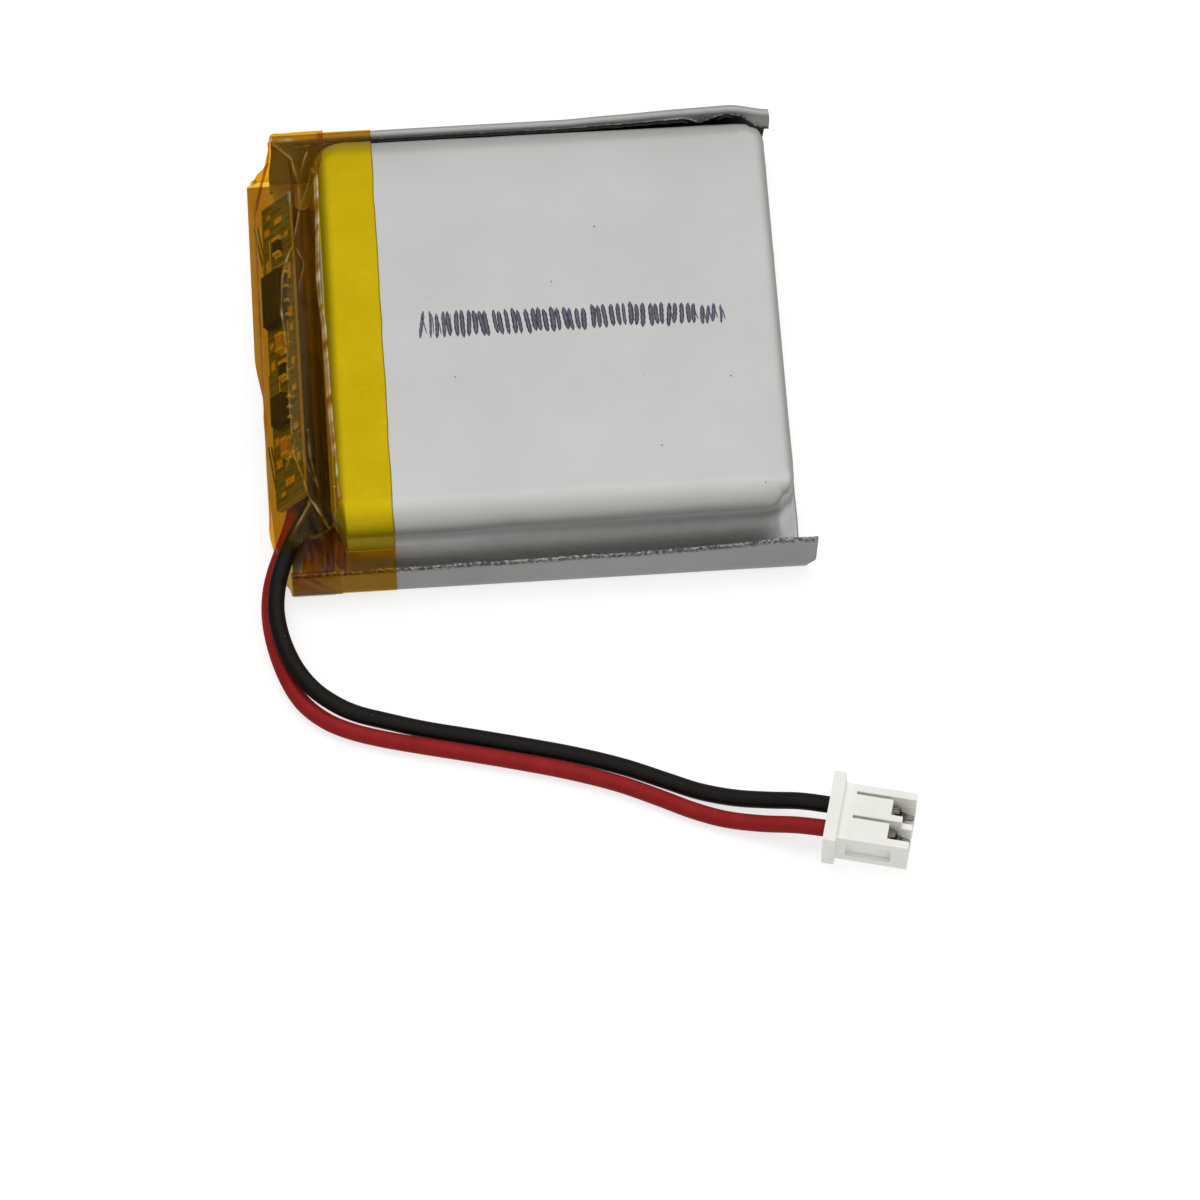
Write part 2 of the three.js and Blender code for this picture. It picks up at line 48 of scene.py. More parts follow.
START_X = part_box("pouch_cup")[0].x * 1000  # where the cup's head wall is in the row frame
CELL_HEIGHT = 9.0
CROWN = 0.06  # how far the middle of the top stands above its rim
CUP_LENGTH = 35.5
HALF_WIDTH = 17.5
CORNER_RADIUS = 2.6
POUCH_START = -3.25
FLAP_Y = 18.45  # middle of a folded-up side flap
TAPE_END = 4.7
FILM_THICKNESS = 0.03
TAB_PLACES = (-1.5, 9.5)


# ---- helpers


def place(points):
    """Millimetres in the cell's own frame to metres in the row frame."""
    moved = np.array(points, float)
    moved[..., 0] += START_X
    return moved * 0.001


def smooth(low, high, value):
    """0 before low, 1 past high, eased between them."""
    t = np.clip((np.asarray(value, float) - low) / (high - low), 0, 1)
    return t * t * (3 - 2 * t)


def table(at, pairs):
    """Smooth lookup: pairs of (place, value), eased between them."""
    pairs = sorted(pairs)
    xs = np.array([p[0] for p in pairs], float)
    ys = np.array([p[1] for p in pairs], float)
    at = np.clip(np.asarray(at, float), xs[0], xs[-1])
    i = np.clip(np.searchsorted(xs, at, side="right") - 1, 0, len(xs) - 2)
    t = (at - xs[i]) / (xs[i + 1] - xs[i])
    return ys[i] + (ys[i + 1] - ys[i]) * (0.35 * t + 0.65 * t * t * (3 - 2 * t))


def ripple(at, size, seed):
    """Smooth wandering values between about -1 and 1, with features of this size."""
    phases = np.random.default_rng(seed).uniform(0, 2 * math.pi, 5)
    rates = np.array([0.5, 0.83, 1.21, 1.77, 2.6]) * 2 * math.pi / size
    weights = np.array([0.5, 0.6, 0.5, 0.3, 0.2])
    at = np.asarray(at, float)
    total = sum(w * np.sin(at * r + p) for w, r, p in zip(weights, rates, phases))
    return total / 1.3


def catmull(points, steps):
    """Points along the smooth curve that passes through the given ones."""
    pts = np.array(points, float)
    pts = np.vstack([2 * pts[0] - pts[1], pts, 2 * pts[-1] - pts[-2]])
    out = []
    for i in range(1, len(pts) - 2):
        a, b, c, d = pts[i - 1 : i + 3]
        for t in np.arange(steps) / steps:
            curve = 2 * b + (c - a) * t + (2 * a - 5 * b + 4 * c - d) * t**2
            out.append(0.5 * (curve + (3 * b - a - 3 * c + d) * t**3))
    out.append(pts[-2])
    return np.array(out)


def resample(points, count):
    """The same line with this many evenly spaced points."""
    pts = np.array(points, float)
    gone = np.concatenate([[0], np.cumsum(np.linalg.norm(np.diff(pts, axis=0), axis=1))])
    want = np.linspace(0, gone[-1], count)
    return np.stack([np.interp(want, gone, pts[:, k]) for k in range(pts.shape[1])], 1)


def finish_piece(obj, material, smoothed=True):
    obj.data.materials.clear()
    obj.data.materials.append(material)
    if smoothed:
        obj.data.shade_smooth()
    else:
        obj.data.shade_flat()
    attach(obj, "root")
    return obj


def piece(name, verts, faces, material, smoothed=True):
    """A visible mesh piece from points in the cell's own frame."""
    mesh = bpy.data.meshes.new(name)
    mesh.from_pydata(place(verts).tolist(), [], faces)
    mesh.validate()
    obj = bpy.data.objects.new(name, mesh)
    scene.collection.objects.link(obj)
    return finish_piece(obj, material, smoothed)


def grid_faces(rows, columns, wrap=False, offset=0, flip=False):
    """Quads between the points of a grid, whose first point has the number offset."""
    faces = []
    for i in range(rows if wrap else rows - 1):
        j = (i + 1) % rows
        for k in range(columns - 1):
            a, b = offset + i * columns + k, offset + i * columns + k + 1
            c, d = offset + j * columns + k + 1, offset + j * columns + k
            faces.append((d, c, b, a) if flip else (a, b, c, d))
    return faces


def grid_normals(grid, wrap):
    if wrap:
        along = np.roll(grid, -1, 0) - np.roll(grid, 1, 0)
    else:
        along = np.gradient(grid, axis=0)
    across = np.gradient(grid, axis=1)
    normals = np.cross(along, across)
    lengths = np.linalg.norm(normals, axis=2, keepdims=True)
    return normals / np.maximum(lengths, 1e-9)


def shell(name, grid, thickness, material, wrap=False, facing=1):
    """A closed thin sheet from a grid of points on its outer side. Its rows run round the
    sheet if wrap is set. facing is 1 if rows x columns points outwards, or -1."""
    rows, columns = grid.shape[:2]
    inner = grid - facing * thickness * grid_normals(grid, wrap)
    count = rows * columns
    verts = np.concatenate([grid.reshape(-1, 3), inner.reshape(-1, 3)])
    flip = facing < 0
    faces = grid_faces(rows, columns, wrap, 0, flip)
    faces += grid_faces(rows, columns, wrap, count, not flip)

    first = [i * columns for i in range(rows)]
    last = [i * columns + columns - 1 for i in range(rows)]
    if wrap:
        rims = [first[::-1], last]
    else:
        end = [(rows - 1) * columns + k for k in range(columns - 2, -1, -1)]
        rims = [(list(range(columns)) + last[1:] + end + first[-2:0:-1])[::-1]]
    for rim in rims:
        for a, b in zip(rim, rim[1:] + rim[:1]):
            quad = (a, b, b + count, a + count)
            faces.append(quad if flip else quad[::-1])
    return piece(name, verts, faces, material)


def swept(sections, places, axis):
    """A grid of points from sections that stand at these places along x (axis 0) or y (1)."""
    sections = np.array(sections)
    grid = np.zeros(sections.shape[:2] + (3,))
    grid[..., axis] = places if np.ndim(places) == 2 else places[:, None]
    grid[..., 1 - axis] = sections[..., 0]
    grid[..., 2] = sections[..., 1]
    return grid


def mark(obj, name, outer, inner):
    """A value for each vertex of a shell's two sides that a material can read."""
    values = np.concatenate([np.ravel(outer), np.ravel(inner)])
    layer = obj.data.attributes.new(name, "FLOAT", "POINT")
    layer.data.foreach_set("value", np.clip(values.astype(np.float32), 0, 1))


def bevelled_box(low, high, bevel, segments=2):
    """Vertices and faces of a box with rounded edges."""
    bm = bmesh.new()
    bmesh.ops.create_cube(bm, size=1)
    size = [h - l for l, h in zip(low, high)]
    middle = [(h + l) / 2 for l, h in zip(low, high)]
    for v in bm.verts:
        v.co = Vector([v.co[k] * size[k] + middle[k] for k in range(3)])
    bmesh.ops.bevel(bm, geom=bm.edges[:], offset=bevel, segments=segments, affect="EDGES", profile=0.5)
    bm.verts.ensure_lookup_table()
    verts = [tuple(v.co) for v in bm.verts]
    faces = [tuple(v.index for v in f.verts) for f in bm.faces]
    bm.free()
    return verts, faces


def block(across, along, width, length, low, high, bevel, segments=1):
    """A bevelled box by its middle and size in two directions and its ends in the third."""
    near = (across - width / 2, along - length / 2, low)
    far = (across + width / 2, along + length / 2, high)
    return bevelled_box(near, far, bevel, segments)


def merged(parts):
    """Several (vertices, faces) in one."""
    verts, faces = [], []
    for part_verts, part_faces in parts:
        start = len(verts)
        verts.extend(part_verts)
        faces.extend(tuple(start + i for i in face) for face in part_faces)
    return verts, faces


# ---- materials


class Nodes:
    """A node tree that short calls add to."""

    def __init__(self, tree):
        self.tree = tree
        tree.nodes.clear()

    def add(self, kind, inputs=None, **settings):
        node = self.tree.nodes.new(kind)
        for key, value in settings.items():
            setattr(node, key, value)
        for key, value in (inputs or {}).items():
            self.set(node.inputs[key], value)
        return node

    def set(self, socket, value):
        if isinstance(value, bpy.types.NodeSocket):
            self.tree.links.new(value, socket)
        elif socket.type == "RGBA":
            socket.default_value = (*value, 1.0)
        else:
            socket.default_value = value

    def ramp(self, value, low, high, start=0.0, end=1.0):
        limits = {"From Min": low, "From Max": high, "To Min": start, "To Max": end}
        return self.add("ShaderNodeMapRange", {"Value": value, **limits}).outputs["Result"]

    def math(self, kind, first, second=0.0):
        return self.add("ShaderNodeMath", {0: first, 1: second}, operation=kind).outputs["Value"]


class Look(Nodes):
    """A new material. Sizes are in millimetres."""

    def __init__(self, name):
        self.material = bpy.data.materials.new(name)
        self.material.use_nodes = True
        super().__init__(self.material.node_tree)
        self.output = self.add("ShaderNodeOutputMaterial")
        self.where = self.add("ShaderNodeTexCoord").outputs["Object"]
        self.axes = self.add("ShaderNodeSeparateXYZ", {"Vector": self.where}).outputs

    def noise(self, size, detail=3.0, roughness=0.55, where=None):
        """Noise with features of about this size."""
        inputs = {"Vector": self.where if where is None else where, "Scale": 1000 / size}
        inputs.update({"Detail": detail, "Roughness": roughness})
        return self.add("ShaderNodeTexNoise", inputs).outputs["Fac"]

    def varied(self, size, low, high, detail=3.0):
        """A value that wanders from low to high."""
        return self.ramp(self.noise(size, detail), 0.3, 0.7, low, high)

    def clouded(self, size, first, second, detail=3.0, low=0.3, high=0.7):
        """Two colours in clouds of this size."""
        return self.mix(self.ramp(self.noise(size, detail), low, high), first, second)

    def stretched(self, scale):
        inputs = {"Vector": self.where, "Scale": scale}
        return self.add("ShaderNodeMapping", inputs).outputs["Vector"]

    def marked(self, name):
        """The values that mark() gave the mesh."""
        return self.add("ShaderNodeAttribute", attribute_name=name).outputs["Fac"]

    def mix(self, amount, first, second):
        inputs = {"Factor": amount, "A": first, "B": second}
        node = self.add("ShaderNodeMix", inputs, data_type="RGBA")
        return next(s for s in node.outputs if s.type == "RGBA")

    def tint(self, amount, strength, first, second):
        """first, with second over it by this share of the amount."""
        return self.mix(self.math("MULTIPLY", amount, strength), first, second)

    def specks(self, cell, radius, share):
        """1 in small scattered spots. share is how many of the cells hold one."""
        node = self.add("ShaderNodeTexVoronoi", {"Vector": self.where, "Scale": 1000 / cell})
        near = self.ramp(node.outputs["Distance"], radius, radius * 0.6)
        split = self.add("ShaderNodeSeparateColor", {"Color": node.outputs["Color"]})
        return self.math("MULTIPLY", near, self.math("LESS_THAN", split.outputs[0], share))

    def bump(self, height, distance, strength=1.0, normal=None):
        inputs = {"Height": height, "Distance": distance * 0.001, "Strength": strength}
        if normal is not None:
            inputs["Normal"] = normal
        return self.add("ShaderNodeBump", inputs).outputs["Normal"]

    def blend(self, amount, first, second):
        return self.add("ShaderNodeMixShader", {0: amount, 1: first, 2: second}).outputs[0]

    def principled(self, **inputs):
        names = {key.replace("_", " "): value for key, value in inputs.items()}
        return self.add("ShaderNodeBsdfPrincipled", names).outputs["BSDF"]

    def done(self, shader):
        self.tree.links.new(shader, self.output.inputs["Surface"])
        return self.material

    def plain(self, **inputs):
        """The finished material, when one shader is all of it."""
        return self.done(self.principled(**inputs))


def grey(value, tint=(1, 1, 1)):
    return tuple(value * t for t in tint)


def laminate_look(name, base=0.56, metallic=0.72, rough=0.31, folded=False, painted_wall_light=False):
    """Satin aluminium pouch laminate: faint clouding, small dents and a few dark specks. A
    folded seal shows torn white film and grime on its cut edges, and painted shade, near black,
    where it is marked as inside, for the dark gap under its lip. A cup wall gets painted light:
    brighter low down, with a painted dark reflection line where its rounded rim begins."""
    look = Look(name)
    light, dark = grey(base * 1.03, (1, 0.995, 1.0)), grey(base * 0.97, (1, 0.995, 0.995))
    tone = look.clouded(9, dark, light, 2)
    specks = look.math("MAXIMUM", look.specks(1.9, 0.055, 0.2), look.specks(4.1, 0.03, 0.35))
    colour = look.tint(specks, 0.75, tone, grey(0.09))
    fine = look.noise(0.11, 2, 0.6)
    roughness = look.ramp(fine, 0.3, 0.7, rough - 0.03, rough + 0.05)
    normal = look.bump(fine, 0.004, 0.35)
    normal = look.bump(look.noise(1.4, 3), 0.012, 0.35, normal)
    normal = look.bump(look.noise(7, 2), 0.05, 0.35, normal)
    if painted_wall_light:
        height = look.axes["Z"]
        # painted light: the wall is painted brighter low down, from about 6.4 mm to 4.8 mm up
        colour = look.tint(look.ramp(height, 0.0064, 0.0048), 0.75, colour, grey(0.97))
        # painted reflection: a dull dark band from about 5.6 to 7.6 mm up, where the rounded rim begins
        below, above = look.ramp(height, 0.0056, 0.0064), look.ramp(height, 0.0076, 0.0067)
        line = look.math("MULTIPLY", below, above)
        colour = look.tint(line, 0.42, colour, grey(0.16))
    if folded:
        edge = look.marked("cut_edge")
        torn = look.math("MULTIPLY", edge, look.ramp(look.noise(0.2, 2), 0.62, 0.7))
        grime = look.math("MULTIPLY", edge, look.ramp(look.noise(0.3, 2), 0.62, 0.46))
        colour = look.tint(grime, 0.85, colour, grey(0.05))
        colour = look.tint(torn, 0.8, colour, grey(0.8))
        # painted shade: where marked inside, the colour goes near black for the shaded gap under the
        # lip
        colour = look.mix(look.marked("inside"), colour, grey(0.012))
    return look.plain(Base_Color=colour, Metallic=metallic, Roughness=roughness, Normal=normal)


def film_look(name, tint, body, share, low_tint=None, streak_tint=None):
    """Clear amber polyimide film. tint is what one face passes, body the colour of its haze
    and share how much of it is haze. low_tint is for film that lies doubled on the floor and
    thins out to a single layer past the head; streak_tint is for film in uneven folds."""
    look = Look(name)
    normal = look.bump(look.noise(3.0, 3, 0.55), 0.05, 0.35)
    light, dark = (tuple(min(c * k, 1.0) for c in body) for k in (1.12, 0.85))
    # painted highlight: creases marked on the mesh get more of a pale cream haze, for the glints along
    # them
    painted_crease_glint = look.marked("painted_crease_glint")
    colour = look.mix(painted_crease_glint, look.clouded(3.0, dark, light, 3, 0.35, 0.65), (0.80, 0.74, 0.58))
    haze = look.principled(Base_Color=colour, Roughness=0.3, IOR=1.5, Normal=normal)
    shine = {"Color": grey(0.95), "Roughness": 0.09, "Normal": normal}
    shine = look.add("ShaderNodeBsdfGlossy", shine).outputs["BSDF"]
    passed = tint
    if low_tint:
        single = look.ramp(look.axes["X"], (START_X - 1.6) / 1000, (START_X + 0.5) / 1000)
        raised = look.ramp(look.axes["Z"], 0.0002, 0.0009)
        passed = look.mix(raised, low_tint, look.mix(single, tint, FILM_TINT))
    if streak_tint:
        streaks = look.noise(1.0, 3, 0.6, look.stretched((1.0, 0.3, 0.3)))
        passed = look.mix(look.ramp(streaks, 0.42, 0.62), tint, streak_tint)
    clear = look.add("ShaderNodeBsdfTransparent", {"Color": passed}).outputs["BSDF"]
    facing = look.add("ShaderNodeLayerWeight", {"Blend": 0.5, "Normal": normal}).outputs["Facing"]
    grazing = look.math("POWER", facing, 5.0)
    surface = look.blend(look.ramp(grazing, 0, 1, 0.014, 0.35), clear, shine)
    return look.done(look.blend(look.ramp(painted_crease_glint, 0, 1, share, 0.6), surface, haze))


def gold_band_look(name):
    """The same film stuck flat on the pouch: the metal under it shines through as gold."""
    look = Look(name)
    colour = look.clouded(5, (0.57, 0.415, 0.004), (0.63, 0.46, 0.007))
    colour = look.tint(look.specks(2.3, 0.05, 0.18), 0.6, colour, (0.12, 0.06, 0.0))
    normal = look.bump(look.noise(0.5, 3), 0.006, 0.4)
    normal = look.bump(look.noise(3.5, 3), 0.03, 0.4, normal)
    creases = look.noise(1.6, 4, 0.7, look.stretched((0.35, 1.6, 1.0)))
    normal = look.bump(look.ramp(creases, 0.6, 0.66), 0.015, 0.35, normal)
    roughness = look.varied(0.6, 0.33, 0.43, 2)
    settings = {"Metallic": 0.93, "Specular_IOR_Level": 0.2}
    return look.plain(Base_Color=colour, Roughness=roughness, Normal=normal, **settings)


def plain_look(name, light, dark, size, metallic=0.0, rough=0.5):
    """Two close tones clouded together, with a matching fine relief."""
    look = Look(name)
    colour = look.mix(look.ramp(look.noise(size, 4, 0.6), 0.3, 0.7), dark, light)
    roughness = look.varied(size * 0.6, rough - 0.05, rough + 0.07, 2)
    normal = look.bump(look.noise(size * 0.5, 3), 0.01, 0.6)
    return look.plain(Base_Color=colour, Metallic=metallic, Roughness=roughness, Normal=normal)


def brushed_look(name, light, dark, rough):
    """Rolled or drawn metal with fine lines along it."""
    look = Look(name)
    lines = look.noise(0.12, 3, 0.6, look.stretched((0.08, 1, 1)))
    colour = look.mix(look.ramp(lines, 0.3, 0.7), dark, light)
    roughness = look.varied(0.4, rough - 0.06, rough + 0.1)
    normal = look.bump(lines, 0.006, 0.5)
    return look.plain(Base_Color=colour, Metallic=1.0, Roughness=roughness, Normal=normal)


def mask_look(name):
    """Solder mask: deep green, with the copper tracks under it showing as lighter lines."""
    look = Look(name)
    inputs = {"Vector": look.where, "Scale": 1000 / 2.6, "Mortar Size": 0.09, "Mortar Smooth": 0.2}
    tracks = look.add("ShaderNodeTexBrick", inputs).outputs["Fac"]
    tone = look.clouded(1.2, (0.055, 0.085, 0.045), (0.08, 0.12, 0.06), 3, 0.35, 0.65)
    colour = look.tint(tracks, 0.5, tone, (0.19, 0.22, 0.09))
    normal = look.bump(look.noise(0.15, 2), 0.004, 0.5, look.bump(tracks, 0.02, 0.5))
    coat = {"Coat_Weight": 0.3, "Coat_Roughness": 0.2}
    return look.plain(Base_Color=colour, Roughness=0.34, Normal=normal, **coat)


def lead_look(name, light, dark):
    """Soft silicone-like insulation, with a little dust."""
    look = Look(name)
    colour = look.tint(look.specks(0.9, 0.05, 0.25), 0.35, look.clouded(1.6, dark, light), grey(0.5))
    normal = look.bump(look.noise(0.09, 3, 0.6), 0.006, 0.6)
    normal = look.bump(look.noise(1.1, 2), 0.02, 0.4, normal)
    settings = {"Roughness": look.varied(0.5, 0.3, 0.44), "Specular_IOR_Level": 0.15}
    return look.plain(Base_Color=colour, Normal=normal, **settings)


def nylon_look(name):
    """Moulded white nylon: slightly translucent, with a faint tool texture."""
    look = Look(name)
    colour = look.clouded(2.5, (0.80, 0.80, 0.775), (0.86, 0.86, 0.84))
    normal = look.bump(look.noise(0.08, 2), 0.003, 0.5)
    normal = look.bump(look.noise(0.9, 2), 0.01, 0.3, normal)
    depth = {"Subsurface_Weight": 0.12, "Subsurface_Scale": 1.0}
    depth["Subsurface_Radius"] = (0.0006, 0.0006, 0.0005)
    roughness = look.varied(0.5, 0.36, 0.48, 2)
    return look.plain(Base_Color=colour, Roughness=roughness, Normal=normal, **depth)


def ink_look(name):
    """Felt-pen ink: blue-black along a stroke's sides and foot, thinner and greyer inside."""
    look = Look(name)
    patchy = look.ramp(look.noise(0.3, 4, 0.7), 0.35, 0.7, -0.35, 0.35)
    depth = look.math("ADD", look.marked("ink"), patchy)
    colour = look.mix(look.ramp(depth, 0.0, 1.0), (0.115, 0.115, 0.16), (0.028, 0.028, 0.048))
    normal = look.bump(look.noise(0.2, 2), 0.004, 0.5)
    roughness = look.varied(0.3, 0.45, 0.6, 2)
    return look.plain(Base_Color=colour, Roughness=roughness, Normal=normal)


def trough_look(name):
    """Film doubled up between cup and board, with painted shade: dark brown, darker towards the leads.
    """
    look = Look(name)
    upper = look.clouded(2.2, (0.085, 0.065, 0.05), (0.135, 0.105, 0.09), 2)
    lower = look.clouded(1.7, (0.018, 0.015, 0.012), (0.035, 0.03, 0.03), 2)
    # painted shade: darker towards the front, where the leads come out
    colour = look.mix(look.ramp(look.axes["Y"], -0.009, 0.008), lower, upper)
    normal = look.bump(look.noise(1.5, 3), 0.03, 0.5)
    settings = {"Roughness": 0.3, "Specular_IOR_Level": 0.35}
    return look.plain(Base_Color=colour, Normal=normal, **settings)


FILM_TINT = (0.95, 0.78, 0.26)
# DOUBLED_TINT passes less than two layers of FILM_TINT: partly doubled film, partly painted shade for
# the dark gap under the corner tent
DOUBLED_TINT = (0.55, 0.28, 0.08)
LAMINATE = laminate_look("satin_laminate")
# the cup's laminate, with painted light low on its wall and a painted dark reflection line
CUP_LAMINATE_PAINTED_LIGHT = laminate_look("cup_laminate_painted_light", painted_wall_light=True)
FLAP = laminate_look("folded_laminate", 0.43, 0.6, 0.40, folded=True)
FILM = film_look("amber_film", FILM_TINT, (0.62, 0.40, 0.035), 0.008)
BASE_FILM = film_look("base_film", (0.87, 0.64, 0.22), (0.4, 0.2, 0.03), 0.01, (0.68, 0.55, 0.3))
# its dark red-brown haze is partly doubled film and partly painted shade
DOUBLED_FILM = film_look(
    "doubled_film", DOUBLED_TINT, (0.15, 0.05, 0.008), 0.13, streak_tint=(0.86, 0.58, 0.2)
)
TROUGH_FILM = trough_look("trough_film")
BAND = gold_band_look("amber_film_on_metal")
MASK = mask_look("board_mask")
FIBRE = plain_look("board_edge", (0.42, 0.40, 0.16), (0.30, 0.29, 0.10), 0.4, 0.0, 0.6)
GOLD = plain_look("gold_pads", (0.72, 0.62, 0.26), (0.42, 0.34, 0.12), 0.4, 0.3, 0.3)
CHIP = plain_look("chip_resin", (0.026, 0.03, 0.09), (0.016, 0.019, 0.06), 0.2, 0.0, 0.42)
TIN = plain_look("tinned_ends", (0.8, 0.79, 0.75), (0.6, 0.59, 0.55), 0.3, 0.5, 0.3)
CERAMIC = plain_look("chip_ceramic", (0.42, 0.30, 0.17), (0.32, 0.22, 0.12), 0.25, 0.0, 0.45)
SOLDER = plain_look("solder", (0.72, 0.71, 0.68), (0.5, 0.49, 0.47), 0.5, 1.0, 0.25)
RESIN = plain_look("sealing_resin", (0.84, 0.81, 0.70), (0.74, 0.70, 0.58), 0.8)
PAPER = plain_look("insulating_paper", (0.10, 0.085, 0.07), (0.07, 0.06, 0.05), 0.3, 0.0, 0.85)
GREEN_TAPE = plain_look("winding_tape", (0.06, 0.33, 0.19), (0.04, 0.26, 0.15), 1.0, 0.0, 0.4)
SEPARATOR = plain_look("separator_film", (0.88, 0.88, 0.85), (0.8, 0.8, 0.78), 1.5, 0.0, 0.75)
GRAPHITE = plain_look("graphite_coat", (0.05, 0.048, 0.046), (0.03, 0.029, 0.028), 0.2, 0.0, 0.8)
OXIDE = plain_look("oxide_coat", (0.085, 0.09, 0.098), (0.055, 0.06, 0.066), 0.2, 0.0, 0.8)
COPPER = brushed_look("copper_strands", (0.83, 0.47, 0.27), (0.55, 0.27, 0.14), 0.35)
CONTACT = brushed_look("tinned_contact", (0.33, 0.31, 0.26), (0.13, 0.12, 0.095), 0.3)
NICKEL = brushed_look("nickel_strip", (0.66, 0.64, 0.59), (0.48, 0.46, 0.42), 0.34)
ALUMINIUM = brushed_look("tab_aluminium", (0.78, 0.78, 0.79), (0.6, 0.6, 0.61), 0.36)
RED = lead_look("red_insulation", (0.29, 0.012, 0.013), (0.23, 0.008, 0.009))
BLACK = lead_look("black_insulation", (0.009, 0.007, 0.007), (0.006, 0.0045, 0.0045))
NYLON = nylon_look("white_nylon")
INK = ink_look("felt_pen_ink")

KEPT = {
    LAMINATE: ["head_seal"],
    SEPARATOR: ["inner_separator", "outer_separator"],
    GRAPHITE: ["anode_sheet"],
    OXIDE: ["cathode_sheet"],
    GREEN_TAPE: ["winding_tape"],
    ALUMINIUM: ["positive_tab"],
    NICKEL: ["negative_tab", "positive_link", "negative_link"],
    RESIN: ["positive_tab_sealant", "negative_tab_sealant"],
    PAPER: ["insulating_strip"],
    SOLDER: ["positive_solder_joint", "negative_solder_joint"],
    COPPER: ["red_conductor_end", "black_conductor_end"],
}
for kept_look, kept_names in KEPT.items():
    for kept_name in kept_names:
        nodes[kept_name].data.materials.clear()
        nodes[kept_name].data.materials.append(kept_look)


# ---- camera

CAMERA_TARGET = (19.984, -22.445, 4.0)
CAMERA_DISTANCE = 0.5319  # metres
CAMERA_AZIMUTH, CAMERA_ELEVATION = math.radians(-3.818), math.radians(62)


def aim(obj, spot, backwards):
    """Puts a camera or a lamp in place, looking against this direction."""
    obj.location = spot
    obj.rotation_euler = backwards.to_track_quat("Z", "Y").to_euler()
    scene.collection.objects.link(obj)


def photo_camera():
    level = math.cos(CAMERA_ELEVATION)
    x, y = math.sin(CAMERA_AZIMUTH) * level, -math.cos(CAMERA_AZIMUTH) * level
    backwards = Vector((x, y, math.sin(CAMERA_ELEVATION)))
    data = bpy.data.cameras.new("camera")
    data.lens, data.sensor_width = 210, 36
    data.clip_start, data.clip_end = 0.01, 20
    camera = bpy.data.objects.new("camera", data)
    aim(camera, Vector(place(CAMERA_TARGET)) + backwards * CAMERA_DISTANCE, backwards)
    scene.camera = camera


photo_camera()


# ---- plug frame

PLUG_BACK = np.array([35.9, -40.9, 2.0])
PLUG_YAW = math.radians(-14)
PLUG_PITCH = 2.0


def plug_frame(points):
    """Points in the plug's own frame: x out of its mating end, y along its width."""
    pts = np.array(points, float)
    turned = pts.copy()
    turned[..., 0] = pts[..., 0] * math.cos(PLUG_YAW) - pts[..., 1] * math.sin(PLUG_YAW)
    turned[..., 1] = pts[..., 0] * math.sin(PLUG_YAW) + pts[..., 1] * math.cos(PLUG_YAW)
    return turned + PLUG_BACK


# ---- leads

RED_ROUTE = [
    (-2.75, -8.6, 1.05), (-2.75, -10.2, 1.05), (-2.85, -11.8, 1.05), (-3.3, -13.4, 1.05),
    (-3.95, -15.1, 1.0), (-4.6, -16.8, 0.85), (-5.02, -18.5, 0.72), (-5.15, -20.6, 0.66),
    (-4.85, -23.1, 0.66), (-4.1, -25.8, 0.66), (-3.0, -28.0, 0.66), (-1.4, -29.6, 0.66),
    (0.5, -30.65, 0.66), (2.8, -31.45, 0.66), (5.8, -32.25, 0.66), (9.45, -33.15, 0.66),
    (13.15, -34.1, 0.66), (16.85, -35.15, 0.66), (20.4, -36.4, 0.66), (23.4, -37.8, 0.66),
    (25.9, -39.05, 0.66), (28.3, -40.0, 0.75), (30.9, -40.75, 1.2), (33.4, -41.35, 1.85),
]
BLACK_ROUTE = [
    (-1.3, -8.6, 1.5), (-1.35, -10.2, 1.55), (-1.7, -11.9, 1.9), (-2.45, -13.6, 2.3),
    (-3.3, -15.4, 2.4), (-4.05, -17.2, 2.2), (-4.5, -19.0, 2.05), (-4.62, -21.0, 2.0),
    (-4.25, -23.3, 1.98), (-3.4, -25.55, 1.86), (-2.15, -27.35, 1.66), (-0.65, -28.55, 1.35),
    (1.0, -29.35, 1.0), (3.2, -30.0, 0.74), (6.2, -30.9, 0.66), (9.8, -31.8, 0.66),
    (13.5, -32.75, 0.66), (17.3, -33.8, 0.66), (20.95, -35.05, 0.66), (24.0, -36.4, 0.66),
    (26.5, -37.5, 0.68), (29.1, -38.3, 0.85), (31.6, -38.9, 1.35), (33.9, -39.4, 1.9),
]
LEAD_DIAMETER = 1.3


def tube(line, radius, sides=20):
    """Vertices and faces of a round tube, with domed ends, along a line of points."""
    line = np.array(line, float)
    ahead = np.gradient(line, axis=0)
    ahead /= np.linalg.norm(ahead, axis=1, keepdims=True)
    side = np.cross(ahead[0], (0.0, 0.0, 1.0))
    verts = []
    for spot, way in zip(line, ahead):
        side = side - way * (side @ way)
        side /= np.linalg.norm(side)
        lift = np.cross(side, way)
        for k in range(sides):
            a = 2 * math.pi * k / sides
            verts.append(spot + radius * (math.cos(a) * side + math.sin(a) * lift))
    faces = []
    for i in range(len(line) - 1):
        for k in range(sides):
            j = (k + 1) % sides
            low, high = i * sides, (i + 1) * sides
            faces.append((low + k, high + k, high + j, low + j))
    last = (len(line) - 1) * sides
    faces.append(tuple(range(sides)))
    faces.append(tuple(last + k for k in reversed(range(sides))))
    return verts, faces


def lead(name, route, side, node):
    """A round lead on a smooth curve that ends inside the plug; also the curve's points."""
    y = side * PLUG_PITCH / 2
    inside = plug_frame([(-0.3, y, 0), (0.7, y, 0)])
    line = catmull([*route, *inside], 6)
    verts, faces = tube(line, LEAD_DIAMETER / 2)
    obj = piece(name, verts, faces, RED if side < 0 else BLACK)
    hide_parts(node)
    return obj, place(line)


red_lead, red_line = lead("red_lead", RED_ROUTE, -1, "red_lead_jacket")
black_lead, black_line = lead("black_lead", BLACK_ROUTE, 1, "black_lead_jacket")


# ---- drawn cup


